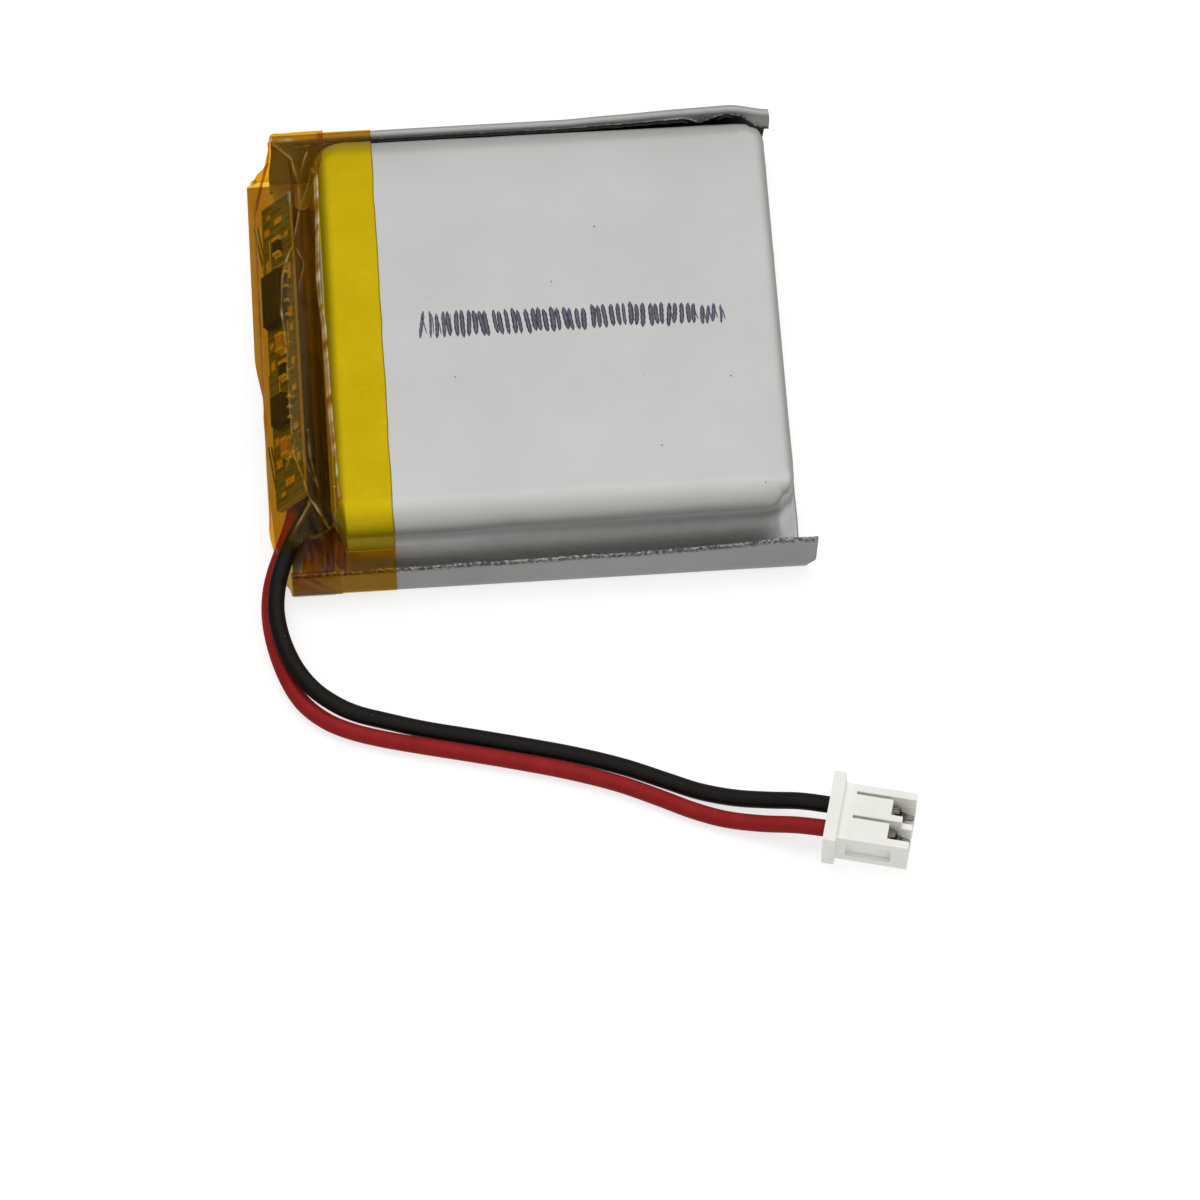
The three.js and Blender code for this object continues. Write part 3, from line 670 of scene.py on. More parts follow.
def perimeter(step):
    """Points round the cup's wall with their outward directions, from the front corner at
    the fold end."""
    spots, outward = [], []
    r = CORNER_RADIUS
    corners = [
        (CUP_LENGTH - r, -HALF_WIDTH + r, -90), (CUP_LENGTH - r, HALF_WIDTH - r, 0),
        (r, HALF_WIDTH - r, 90), (r, -HALF_WIDTH + r, 180),
    ]
    for number, (cx, cy, angle) in enumerate(corners):
        for turn in np.linspace(0, 90, 15):
            a = math.radians(angle + turn)
            spots.append((cx + r * math.cos(a), cy + r * math.sin(a)))
            outward.append((math.cos(a), math.sin(a)))
        nx, ny, nangle = corners[(number + 1) % 4]
        a = math.radians(nangle)
        goal = np.array((nx + r * math.cos(a), ny + r * math.sin(a)))
        start = np.array(spots[-1])
        count = int(np.linalg.norm(goal - start) / step)
        for i in range(1, count):
            spots.append(tuple(start + (goal - start) * i / count))
            outward.append((math.cos(a), math.sin(a)))
    return np.array(spots), np.array(outward)


WALL, OUTWARD = perimeter(0.45)
ALONG = smooth(3, 33, WALL[:, 0])  # 0 at the head, 1 at the fold end
# How far each point of the wall belongs to the front, rear, head and fold sides.
FRONT, REAR = np.maximum(-OUTWARD[:, 1], 0) ** 2, np.maximum(OUTWARD[:, 1], 0) ** 2
HEAD, FOLD = np.maximum(-OUTWARD[:, 0], 0) ** 2, np.maximum(OUTWARD[:, 0], 0) ** 2
FRONT_RIM, REAR_RIM, HEAD_RIM, FOLD_RIM = 2.3, 2.2, 1.4, 0.9
RIM = (FRONT_RIM - 0.3 * ALONG) * FRONT + (REAR_RIM - 0.25 * ALONG) * REAR
RIM = RIM + HEAD_RIM * HEAD + FOLD_RIM * FOLD
LEAN = (0.05 + 0.28 * ALONG) * FRONT + (0.12 + 0.22 * ALONG) * REAR + 0.24 * FOLD


def cup_rings():
    """Rings of points from the flange at the cup's foot up its wall and over its top. The
    wall leans in a little towards the fold end."""
    rings = []

    def ring(inset, z):
        spots = WALL - OUTWARD * np.broadcast_to(inset, RIM.shape)[:, None]
        rings.append(np.column_stack([spots, np.broadcast_to(z, RIM.shape)]))

    reach = 0.46 * (FRONT + REAR) + 0.02 * HEAD + 0.14 * FOLD
    square = np.maximum(np.abs(OUTWARD[:, 0]), np.abs(OUTWARD[:, 1]))
    out_of_corner = CORNER_RADIUS * (1 / square - 1)
    ring(-(reach + out_of_corner), 0.31)
    ring(-(reach * 0.55 + out_of_corner * 0.5), 0.315)
    ring(-(0.16 - 0.14 * HEAD - 0.1 * FOLD), 0.36)
    ring(-(0.05 - 0.04 * HEAD), 0.46)
    shoulder = CELL_HEIGHT - RIM
    for t in (0.0, 0.08, 0.18, 0.3, 0.45, 0.6, 0.75, 0.88):
        ring(LEAN * t, 0.7 + (shoulder - 0.7) * t)
    for angle in np.linspace(0, 90, 15):
        a = math.radians(angle)
        ring(LEAN + RIM * (1 - math.cos(a)), shoulder + RIM * math.sin(a))
    flat = rings[-1]
    top = np.full(len(WALL), CELL_HEIGHT + CROWN)
    heart = np.column_stack([np.clip(WALL[:, 0], 15, 20.5), np.zeros(len(WALL)), top])
    for t in (0.02, 0.05, 0.1, 0.17, 0.26, 0.37, 0.5, 0.64, 0.78, 0.92):
        layer = flat + (heart - flat) * t
        layer[:, 2] = CELL_HEIGHT + CROWN * math.sin(min(t * 1.6, 1) * math.pi / 2)
        rings.append(layer)
    return np.array(rings)


def rear_sag(y):
    """How far the cup's top sinks towards its back rim."""
    near = np.clip((y - 11.5) / 3.5, 0, 1)
    return 0.09 * near**2 + 0.051 * np.maximum(y - 15, 0)


def cup_details(grid):
    """Small waves in the wall, raised feet over the tabs and pinches at the corners."""
    x, y, z = grid[..., 0], grid[..., 1], grid[..., 2].copy()
    grid[..., 2] -= rear_sag(y) * smooth(5, 7, z)
    near_head = smooth(0.9, 0.2, x) * smooth(1.6, 0.3, z)
    for tab_y in TAB_PLACES:
        lift = 0.34 * smooth(3.7, 3.1, np.abs(y - tab_y)) * near_head
        grid[..., 2] += lift
    outward = np.broadcast_to(OUTWARD, grid.shape[:2] + (2,))
    angle = np.degrees(np.arctan2(outward[..., 1], outward[..., 0]))
    band = smooth(3.5, 6.5, z) * smooth(9.08, 8.2, z)
    for middle in (-45, 45):
        off = angle - middle
        pinch = np.exp(-((off / 17) ** 2)) * np.cos(np.radians(off * 11))
        amount = (0.10 * pinch * band)[..., None]
        grid[..., :2] -= outward * amount
    sway = 0.035 * ripple(x, 9, 4) * smooth(0.5, 3, z) * smooth(9, 6.5, z)
    grid[..., 1] += sway * np.sign(y)
    return grid


def pouch_cup():
    grid = cup_details(cup_rings())
    rows, columns = grid.shape[:2]
    outer = grid.transpose(1, 0, 2)  # now its first index runs round the cup
    normals = grid_normals(outer, True)
    centre = np.array([CUP_LENGTH / 2, 0, 4.0])
    if (normals[0, rows // 2] * (outer[0, rows // 2] - centre)).sum() < 0:
        normals = -normals
    normals[:, -12:] = (0, 0, 1)  # the flat top and the end of its rim
    inner = outer - 0.12 * normals
    count = columns * rows
    verts = np.concatenate([outer.reshape(-1, 3), inner.reshape(-1, 3)])
    faces = grid_faces(columns, rows, True, 0)
    faces += grid_faces(columns, rows, True, count, True)
    for i in range(columns):
        j = (i + 1) % columns
        faces.append((i * rows, j * rows, j * rows + count, i * rows + count)[::-1])
    lid = [i * rows + rows - 1 for i in range(columns)]
    faces.append(tuple(lid))
    faces.append(tuple(i + count for i in reversed(lid)))
    obj = piece("cup_skin", verts, faces, CUP_LAMINATE_PAINTED_LIGHT)
    bm = bmesh.new()
    bm.from_mesh(obj.data)
    bmesh.ops.recalc_face_normals(bm, faces=bm.faces)
    bm.to_mesh(obj.data)
    bm.free()
    obj.data.shade_smooth()
    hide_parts("pouch_cup")


pouch_cup()


# ---- flat cover and side flaps


def pouch_cover():
    """The flat half. It turns up round the fold end to meet the cup's flange."""
    centre_line = [(POUCH_START, 0.17), (-1.0, 0.16), (4.4, 0.16), (5.2, 0.09), (20, 0.08)]
    centre_line += [(34.5, 0.08), (35.5, 0.085)]
    for angle in np.linspace(-90, 90, 9):
        a = math.radians(angle)
        centre_line.append((35.62 + 0.16 * math.cos(a), 0.245 + 0.16 * math.sin(a)))
    centre_line += [(35.5, 0.405), (35.3, 0.42)]
    line = resample(np.array(centre_line), 150)
    ys = np.linspace(-17.75, 17.75, 90)
    grid = swept([line] * len(ys), ys, 1).transpose(1, 0, 2)
    end = smooth(34.5, 36, grid[..., 0])
    grid[..., 0] += end * 0.05 * ripple(ys, 7, 9)[None, :]
    obj = shell("cover_skin", grid, 0.07, LAMINATE, facing=-1)
    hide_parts("pouch_cover")


pouch_cover()

FLAP_THICKNESS = 0.27
FLAP_FACE = FLAP_Y + 0.14
FLAP_FOOT = [(17.62, 0.03), (17.95, 0.03), (18.3, 0.08), (FLAP_FACE - 0.06, 0.28), (FLAP_FACE, 0.75)]
FLAP_COLUMNS = 440


def flap(name, node, sections, starts, ends, side, shade):
    """A folded-up side seal. sections is (columns, rows, 2) of y, z on its outer face along
    the cell; starts and ends say where each row begins and stops; the last row is the cut
    edge. shade is how much painted shade darkens its inner face past the head, standing in
    for the dark gap under the lip."""
    columns, rows = sections.shape[:2]
    along = np.linspace(0, 1, columns)[:, None]
    grid = swept(sections * (side, 1), starts + (ends - starts) * along, 0)
    obj = shell(name, grid, FLAP_THICKNESS, FLAP, facing=1 if side < 0 else -1)
    edge = np.zeros((columns, rows))
    edge[:, -2:] = 1.0
    edge[:, -3] = 0.35
    mark(obj, "cut_edge", edge, edge)
    # painted shade for the gap under the lip: the inner face past the head, and the cut edge's last row
    dark = shade * smooth(0.8, 2.2, grid[..., 0])
    tip = np.zeros((columns, rows))
    tip[:, -1] = dark[:, -1]
    mark(obj, "inside", tip, dark)
    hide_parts(node)


def front_flap():
    """It stands clear of the cup, with an uneven cut edge and a cut corner."""
    columns = FLAP_COLUMNS
    xs = np.linspace(POUCH_START, 36.9, columns)
    top = table(xs, [(-3.3, 3.3), (6, 3.45), (20, 3.85), (30, 4.1), (33.8, 4.42), (36.9, 4.35)])
    jag = rng.normal(0, 0.022, columns) + 0.03 * ripple(xs, 0.9, 2)
    nick = rng.random(columns) < 0.03
    top = top + jag - 0.08 * nick
    lean = table(xs, [(-3.3, 0.02), (8, 0.0), (22, 0.1), (32, 0.0), (36.9, -0.12)])
    lean = lean + 0.03 * ripple(xs, 6, 3)
    sections = []
    for i in range(columns):
        points = [
            *FLAP_FOOT,
            (FLAP_FACE + lean[i] * 0.3, 1.6), (FLAP_FACE + lean[i] * 0.7, 2.8),
            (FLAP_FACE + lean[i], top[i]),
        ]
        sections.append(resample(catmull(points, 8), 34))
    sections = np.array(sections)
    rows = sections.shape[1]
    height = sections[columns // 2, :, 1]
    starts = np.full(rows, POUCH_START) + 0.05 * ripple(np.arange(rows), 12, 6)
    ends = 36.15 + 0.65 * smooth(0.25, 1.15, height) + 0.04 * height
    flap("front_flap_skin", "side_seal_front", sections, starts, ends, -1, 0.0)


def back_flap():
    """It stands beside the cup, and its top lip is turned in and down over the rim."""
    columns = FLAP_COLUMNS
    xs = np.linspace(POUCH_START, 36.6, columns)
    top = table(
        xs,
        [(-3.3, 7.35), (8, 7.4), (20, 7.35), (24, 7.6), (30, 7.95), (33.3, 8.05), (36.6, 7.3)],
    )
    depth = table(xs, [
        (-3.3, 1.0), (1, 0.7), (5, 0.36), (19, 0.32), (26, 0.4), (29.6, 0.36), (31.1, 1.05),
        (33.1, 0.3), (34.3, 0.75), (35.5, 1.7), (36.6, 1.9),
    ])
    depth = depth + rng.normal(0, 0.02, columns) + 0.04 * ripple(xs, 1.1, 12)
    lean = table(xs, [(-3.3, 0.0), (19, 0.03), (29, 0.05), (34, 0.08), (36.6, -0.03)])
    flare = table(xs, [(-3.3, 0.05), (10, 0.03), (26, 0.08), (31.1, 0.2), (34, 0.0), (36.6, 0.1)])
    sections = []
    for i in range(columns):
        crest = top[i] - 0.25
        out = FLAP_FACE + lean[i]
        points = [
            *FLAP_FOOT,
            (FLAP_FACE + lean[i] * 0.2, 2.3), (FLAP_FACE + lean[i] * 0.6, 4.8), (out, crest - 0.5),
            (out - 0.01, crest), (out - 0.16, crest + 0.2), (out - 0.38, crest + 0.25),
            (out - 0.58, crest + 0.14), (out - 0.66, crest - 0.1),
            (out - 0.68 - 0.4 * flare[i], crest - 0.1 - 0.5 * depth[i]),
            (out - 0.72 - flare[i], top[i] - depth[i]),
        ]
        sections.append(resample(catmull(points, 8), 64))
    sections = np.array(sections)
    rows = sections.shape[1]
    height = sections[columns // 2, :, 1]
    starts = np.full(rows, POUCH_START + 0.1) - 0.35 * smooth(5.5, 0.5, height)
    ends = 35.25 + 0.1 * height + 0.2 * smooth(0.5, 0.1, height)
    flap("back_flap_skin", "side_seal_back", sections, starts, ends, 1, 1.0)


front_flap()
back_flap()


# ---- protection board

BOARD_TILT = math.radians(50)
BOARD_CENTRE = (-2.85, 3.15)
BOARD_WIDTH, BOARD_LENGTH, BOARD_MIDDLE = 3.6, 27, 1.5
CORE, FACE = 0.27, 0.3  # half the thickness of the bare board, and of the board with its mask


def board_frame(points):
    """Points in the board's own frame: across its width, along the cell, out of its face."""
    pts = np.array(points, float)
    out = pts.copy()
    cos, sin = math.cos(BOARD_TILT), math.sin(BOARD_TILT)
    out[..., 0] = BOARD_CENTRE[0] + pts[..., 0] * cos - pts[..., 2] * sin
    out[..., 2] = BOARD_CENTRE[1] + pts[..., 0] * sin + pts[..., 2] * cos
    return out


def on_board(name, parts, look, node=None):
    """One piece from parts that are in the board's frame."""
    verts, faces = merged(parts)
    obj = piece(name, board_frame(verts), faces, look)
    obj.data.set_sharp_from_angle(angle=math.radians(35))
    if node:
        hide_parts(node)
    return obj


core = block(0, BOARD_MIDDLE, BOARD_WIDTH, BOARD_LENGTH, -CORE, CORE, 0.03)
on_board("board_core", [core], FIBRE, "protection_board")
mask_faces = [
    block(0, BOARD_MIDDLE, BOARD_WIDTH - 0.08, BOARD_LENGTH - 0.08, low, low + 0.028, 0.01)
    for low in (FACE - 0.028, -FACE)
]
on_board("board_mask_faces", mask_faces, MASK)


def pads():
    """Gold test pads and bare tracks on the component side."""
    spots = [
        (0.2, 13.1, 1.0, 0.55), (-0.9, 13.9, 0.5, 0.35), (-1.2, 12.6, 0.6, 0.6), (1.15, 11.4, 0.5, 0.5),
        (1.15, 4.4, 0.5, 0.9), (1.2, 3.0, 0.4, 0.6), (-1.3, 2.4, 0.5, 0.5), (-1.25, 0.6, 0.5, 0.8),
        (1.2, 0.0, 0.4, 0.7), (1.15, -2.4, 0.5, 0.5), (-1.25, -6.2, 0.5, 0.7), (1.1, -5.8, 0.6, 0.6),
        (-1.1, -8.2, 0.7, 0.7), (0.1, -10.2, 1.1, 0.6), (-0.8, -11.0, 0.5, 0.4), (1.25, -8.6, 0.4, 0.8),
        (-1.3, 9.5, 0.45, 1.1), (1.3, 8.0, 0.35, 1.4),
    ]
    parts = [block(*spot, FACE, FACE + 0.025, 0.01) for spot in spots]
    for across, along, length in ((-0.95, 10.2, 3.2), (0.75, 2.6, 2.4), (-0.6, -1.7, 2.2)):
        parts.append(block(across, along, 0.14, length, FACE, FACE + 0.018, 0.008))
    for along in (-7.9, -3.2, -0.6, 1.7, 9.0, 11.3):
        parts.append(block(0.425, along, 1.55, 0.14, FACE, FACE + 0.018, 0.008))
    return parts


on_board("board_pads", pads(), GOLD)

SEAT = FACE + 0.05  # height over the board's middle that parts are soldered at


def chip(node, across, along, width, length, height, pins):
    """A moulded package with a shallow mould line and a row of bent pins along each side."""
    top = SEAT + height
    body = block(across, along, width, length, SEAT + 0.06, top - 0.28, 0.04, 2)
    lid = block(across, along, width - 0.08, length - 0.08, top - 0.31, top, 0.07, 3)
    on_board(node + "_body", [body, lid], CHIP, node)
    legs = []
    for y in along + np.linspace(-0.5, 0.5, pins) * (length - 0.75):
        for side in (-1, 1):
            edge = across + side * width / 2
            legs.append(block(edge + side * 0.085, y, 0.27, 0.26, SEAT + 0.2, SEAT + 0.3, 0.02))
            legs.append(block(edge + side * 0.235, y, 0.13, 0.26, 0.31, SEAT + 0.3, 0.02))
    on_board(node + "_pins", legs, TIN)


chip("power_mosfet", -0.2, 6, 2.2, 4.6, 0.8, 4)
chip("protection_ic", -0.2, -4, 1.5, 2.6, 0.8, 3)


def passive(node, across, along, height, look):
    """A two-ended chip part with tinned ends and fillets of solder."""
    body = block(across, along, 0.76, 1.0, SEAT + 0.01, SEAT + height - 0.03, 0.04, 2)
    on_board(node + "_body", [body], look, node)
    ends = []
    for side in (-1, 1):
        ends.append(block(across, along + side * 0.64, 0.8, 0.32, SEAT, SEAT + height, 0.06, 2))
        ends.append(block(across, along + side * 0.87, 0.72, 0.26, 0.305, SEAT + 0.16, 0.06, 2))
    on_board(node + "_ends", ends, TIN)


passive("filter_capacitor", 0.2, 1.9, 0.6, CERAMIC)
passive("filter_resistor", 0.2, -0.5, 0.4, CHIP)
passive("bypass_capacitor", 0.2, -7.4, 0.6, CERAMIC)
passive("sense_resistor", 0.2, 10.6, 0.4, CHIP)


# ---- head tape


def cup_height(x, y):
    """Height of the cup's rounded top over a place near its head, or 0 beside the cup."""
    r = CORNER_RADIUS
    into = np.maximum(r - x, 0)
    across = np.maximum(np.abs(y) - (HALF_WIDTH - r), 0)
    reach = np.hypot(into, across)
    share = into**2 / np.maximum(reach**2, 1e-9)
    rim = np.where(y < 0, FRONT_RIM, REAR_RIM) * (1 - share) + HEAD_RIM * share
    inset = r - reach
    down = np.clip(rim - inset, 0, rim)
    height = CELL_HEIGHT - rim + np.sqrt(rim**2 - down**2)
    height = height - rear_sag(y) * smooth(5, 7, height)
    return np.where(inset > 0, height, 0)


def cup_half_width(x):
    """Half the cup's width at a place along it, rounded corners included."""
    r = CORNER_RADIUS
    into = np.clip(r - np.asarray(x, float), 0, r)
    return HALF_WIDTH - r + np.sqrt(np.maximum(r * r - into * into, 0))


BAND_POINTS, LOOP_POINTS = 190, 420


def band_section(x):
    """The tape on the cup at one place along it, from the front wall over to the back rim. At
    the front it is stretched straight across the cup's rounded corner."""
    half = float(cup_half_width(x))
    reach = CORNER_RADIUS
    proud = 0.05
    eased = 1 - np.cos(np.radians(np.linspace(4, 90, 16)))
    stretched = float(smooth(0.5, 1.2, x))
    snug, taut = -half + reach * eased, -HALF_WIDTH + reach * eased
    low = cup_height(np.full(16, x), snug)
    high = np.minimum(cup_height(np.full(16, max(x, CORNER_RADIUS)), taut), cup_height(x, 0.0))
    front = snug + (taut - snug) * stretched
    wall = front[0] - proud
    places = np.concatenate([np.linspace(-14, 14, 15), half - reach * eased[:4:-1]])
    heights = cup_height(np.full(len(places), x), places)
    places = np.concatenate([front, places])
    heights = np.concatenate([low + (high - low) * stretched, heights]) + proud
    sides = proud * np.clip((np.abs(places) - half + reach) / reach, 0, 1) * np.sign(places)
    points = [(wall, 4.9), (wall, 5.8), *zip(places + sides, heights)]
    return resample(np.array(points), BAND_POINTS)


def head_band():
    """The part of the tape that is stuck to the cup."""
    xs = np.concatenate([np.linspace(0.32, 2.5, 24), np.linspace(2.7, TAPE_END, 16)])
    edge = 0.035 * ripple(np.linspace(0, 55, BAND_POINTS), 8, 31)
    places = xs[:, None] + edge * (xs[:, None] > 4)
    grid = swept([band_section(x) for x in xs], places, 0)
    obj = shell("head_tape_band", grid, 0.035, BAND, facing=1)
    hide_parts("head_tape")


head_band()


def loop_section(x):
    """The tape off the cup at one place along it: from the front wall out over the front
    flap, down its face, under the cell, up the back flap and across to the back rim."""
    start = band_section(x)
    half = -start[0][0]
    wobble = 0.06 * float(ripple(x, 3, 8))
    front = [
        start[0] + (0, 0.05),
        (-half - 0.12, 4.5), (-(half + 18.2) / 2, 3.95 + wobble), (-18.24, 3.58), (-18.42, 3.56),
        (-18.66, 3.42), (-18.69, 2.8), (-18.68, 1.6), (-18.66, 0.6), (-18.45, 0.12), (-17.9, 0.0),
    ]
    under = [(y, 0.0) for y in (-14, -8, 0, 8, 14)]
    back = [
        (17.9, 0.0), (18.45, 0.12), (18.68, 0.6), (18.7, 2), (18.7, 4.5), (18.7, 6.7), (18.64, 7.22),
        (18.4, 7.46), (18.1, 7.42), (17.85, 7.3 + wobble), (17.6, 7.35 + wobble),
        start[-1] + (0.03, -0.25),
        start[-1] + (0, 0.02),
    ]
    return resample(catmull([*front, *under, *back], 6), LOOP_POINTS)


def head_loop():
    """The rest of the tape's way round the cell."""
    xs = np.linspace(0.5, TAPE_END, 22)
    grid = swept([loop_section(max(x, 0.86)) for x in xs], xs, 0)
    shell("head_tape_loop", grid, FILM_THICKNESS, FILM, facing=-1)


head_loop()


# ---- board tape


# Where the film's inner edge lies along the cup's rim: (y, x).
FILM_EDGE = [
    (-16, 0.85), (-14.8, 0.72), (-11.2, 0.66), (-6.25, 0.5), (-2.5, 0.46), (0.3, 0.43), (3.1, 0.21),
    (6, 0.16), (9.75, 0.34), (13.8, 0.42), (15.4, 0.8), (18.4, 0.97),
]


def drape_points(y):
    """Where the film runs at one place along the board, from the cup's rim to its outer edge:
    a usual profile that eases into others at the front corner and over the back flap."""
    rim = float(table(y, FILM_EDGE))
    rim_height = float(cup_height(np.array(rim), np.array(min(y, 14.5))))
    ridge = table(y, [
        (-16, -1.5), (-13, -1.6), (-8.7, -2.6), (-4, -2.75), (0.3, -2.7), (4.2, -3.0), (6.6, -2.95),
        (8.6, -2.4), (10, -1.8), (19, -1.2),
    ])
    edge = table(y, [
        (-16.6, -4.62), (-14, -4.5), (-8, -4.8), (-2.4, -4.72), (2.7, -5.35), (17.5, -5.3),
        (18.45, -5.28),
    ])
    chips = math.exp(-(((y - 6) / 2.9) ** 4)) + 0.8 * math.exp(-(((y + 4) / 1.8) ** 4))
    slack = 0.28 * (1 - min(chips, 1))
    points = np.array([
        (rim, rim_height + 0.02), (rim - 0.09, rim_height + 0.03), (rim - 0.2, rim_height - 0.1),
        (min(rim - 0.32, 0.02), rim_height - 0.75), (-0.14, 7.1), (-0.32, 6.5), (-0.62, 5.65),
        (-1.15, 5.05), (-1.75, 4.85), (ridge, 5.0 - 0.3 * abs(ridge + 2.2)),
        (-3.75 + slack * 0.4, 4.3 - slack), (-4.55 + slack * 0.6, 3.35 - slack * 0.3),
        (-4.86 + slack * 0.5, 2.4), (-4.8, 1.3), (-4.75, 0.6), (-4.88, 0.26), (edge, 0.13),
    ], float)
    hip = float(smooth(-12.9, -15.7, y))
    front = np.array([
        (0.97, 8.8), (0.7, 8.45), (0.5, 7.9), (0.36, 7.2), (0.26, 6.4), (0.12, 5.6), (-0.1, 4.8),
        (-0.5, 4.3), (-1.2, 4.0), (-2.0, 3.85), (-3.0, 3.55), (-3.8, 2.9), (-4.25, 2.2),
        (-4.45, 1.3), (-4.5, 0.6), (-4.52, 0.3), (edge, 0.13),
    ], float)
    rise = float(np.clip((y - 15.2) / 3.0, 0, 1))
    back = np.array([
        (0.97, 7.5), (0.7, 7.5), (0.45, 7.5), (0.2, 7.49), (-0.1, 7.48), (-0.5, 7.46), (-1.0, 7.45),
        (-1.5, 7.44), (-2.0, 7.43), (-2.5, 7.42), (-2.95, 7.38), (-3.2, 6.9), (-3.32, 5.6),
        (-3.5, 4.0), (-3.75, 2.6), (-4.9, 0.5), (edge, 0.13),
    ], float)
    points = points + (front - points) * hip
    return points + (back - points) * rise


# Each crease: its points as (x, y), its height, its half width and the strength of its painted
# highlight.
CREASES = [
    ([(-1.77, 9.97), (-2.4, 8.58), (-2.8, 6.99), (-3.0, 4.2), (-2.72, 0.5)], 0.16, 0.13, 0.9),
    ([(-2.72, 0.5), (-2.75, -4.3), (-2.63, -8.7), (-1.5, -12.9)], 0.16, 0.12, 0.7),
    ([(-1.77, 9.97), (-1.1, 8.4), (-1.05, 7.8), (-1.62, 6.1), (-2.5, 5.1)], 0.12, 0.1, 0.6),
    ([(-1.1, 15.3), (-1.13, 13.3), (-1.77, 9.97)], 0.2, 0.12, 0.8),
    ([(-3.2, 18.1), (-1.55, 16.9), (-1.46, 16.4), (-1.1, 15.3), (-0.3, 16.9)], 0.22, 0.11, 0.9),
    ([(-1.13, 13.3), (-0.42, 14.4), (0.0, 14.9), (0.36, 13.8)], 0.14, 0.08, 0.9),
    ([(x - 0.05, y) for y, x in FILM_EDGE[1:-2]], 0.09, 0.05, 2.0),
    ([(x - 0.25, y) for y, x in FILM_EDGE[2:-2]], 0.07, 0.05, 1.4),
    ([(-1.45, -12.9), (-3.28, -15.3)], 0.2, 0.1, 0.9), ([(-1.45, -12.9), (-0.1, -15.4)], 0.2, 0.1, 1.0),
    ([(-3.28, -15.3), (-2.3, -15.75), (-1.3, -15.5), (-0.1, -15.4)], 0.08, 0.08, 0.5),
    ([(-3.3, -9.6), (-2.6, -8.1), (-2.1, -6.6)], 0.07, 0.07, 0.5),
    ([(-1.5, -6.6), (-1.4, -9.0), (-0.9, -12.0)], 0.09, 0.08, 0.6),
    ([(-1.9, -9.0), (-1.2, -11.2)], 0.06, 0.06, 0.5),
    ([(-1.0, -2.0), (-1.2, 1.0), (-1.0, 3.5)], -0.12, 0.3, 0.0),
    ([(-3.6, 14.2), (-2.2, 15.2), (-1.2, 15.1)], 0.1, 0.1, 0.3),
]


def crease_field(x, y):
    """How far creases lift the film over these places, and how strong a painted highlight they get."""
    lift, painted_glint = np.zeros_like(x), np.zeros_like(x)
    for line, height, width, painted_glint_strength in CREASES:
        near = np.full_like(x, 1e9)
        pts = np.array(line, float)
        for a, b in zip(pts[:-1], pts[1:]):
            span = b - a
            t = np.clip(((x - a[0]) * span[0] + (y - a[1]) * span[1]) / (span @ span), 0, 1)
            gap = np.hypot(x - a[0] - span[0] * t, y - a[1] - span[1] * t)
            near = np.minimum(near, gap)
        lift += height * np.exp(-near / width)
        breadth = 0.045 + 0.03 * painted_glint_strength
        painted_glint = np.maximum(painted_glint, 0.45 * painted_glint_strength * np.exp(-((near / breadth) ** 2)))
    return lift, painted_glint


def board_film():
    """Film over the board, with its creases, carried on over the back flap's outside."""
    ys = np.concatenate([np.linspace(-15.9, 13.9, 250), np.linspace(14.0, 18.4, 50)])
    count = 160
    grid = swept([resample(catmull(drape_points(float(y)), 6), count) for y in ys], ys, 1)
    front_end = smooth(-14.6, -15.9, ys)[:, None]
    grid[..., 1] += front_end * 0.35 * ripple(grid[..., 0], 2.2, 15)
    grid[..., 2] = np.maximum(grid[..., 2], cup_height(grid[..., 0], grid[..., 1]) + 0.07)
    normals = grid_normals(grid, False)
    free = np.ones(count)
    free[:8] = np.linspace(0, 1, 8)
    free[-10:] = np.linspace(1, 0, 10)
    lift, painted_glint = crease_field(grid[..., 0], grid[..., 1])
    across = np.arange(count)[None, :] * 0.079
    crumple = 0.03 * ripple(ys[:, None] + across * 0.8, 4.3, 41)
    crumple = crumple + 0.025 * ripple(ys[:, None] * 0.9 - across * 1.3, 3.1, 42)
    crumple = crumple * smooth(0.1, -0.6, grid[..., 0])
    grid = grid + normals * ((lift + crumple) * free[None, :])[..., None]
    rise = np.clip(grid[..., 2] - CELL_HEIGHT + HEAD_RIM, 0, HEAD_RIM)
    wall = HEAD_RIM - np.sqrt(HEAD_RIM**2 - rise**2)
    straight = np.abs(grid[..., 1]) < HALF_WIDTH - CORNER_RADIUS
    grid[..., 0] = np.where(straight, np.minimum(grid[..., 0], wall - 0.05), grid[..., 0])
    # the painted crease highlight varies in strength along the creases
    painted_glint = painted_glint * (0.75 + 0.6 * ripple(ys[:, None] + across * 0.2, 2.1, 44))
    outside = []
    top = grid[-1]
    for step, (y, keep) in enumerate(((18.64, 1.0), (18.74, 0.97), (18.75, 0.5), (18.72, 0.01))):
        row = top.copy()
        row[:, 1] = y
        row[:, 2] = 0.1 + (top[:, 2] - 0.1) * keep
        if step == 0:
            row[:, 2] = top[:, 2] + 0.03 * smooth(0, 3, top[:, 2])
        row[:, 0] = np.maximum(row[:, 0], -3.45 - 1.8 * (top[:, 2] < 3) * (1 - keep * 0.4))
        outside.append(row)
    grid = np.concatenate([grid, np.array(outside)])
    painted_glint = np.concatenate([painted_glint, np.zeros((len(outside), count))])
    obj = shell("board_tape_drape", grid, FILM_THICKNESS, FILM)
    mark(obj, "painted_crease_glint", painted_glint, painted_glint)
    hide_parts("board_tape")


board_film()


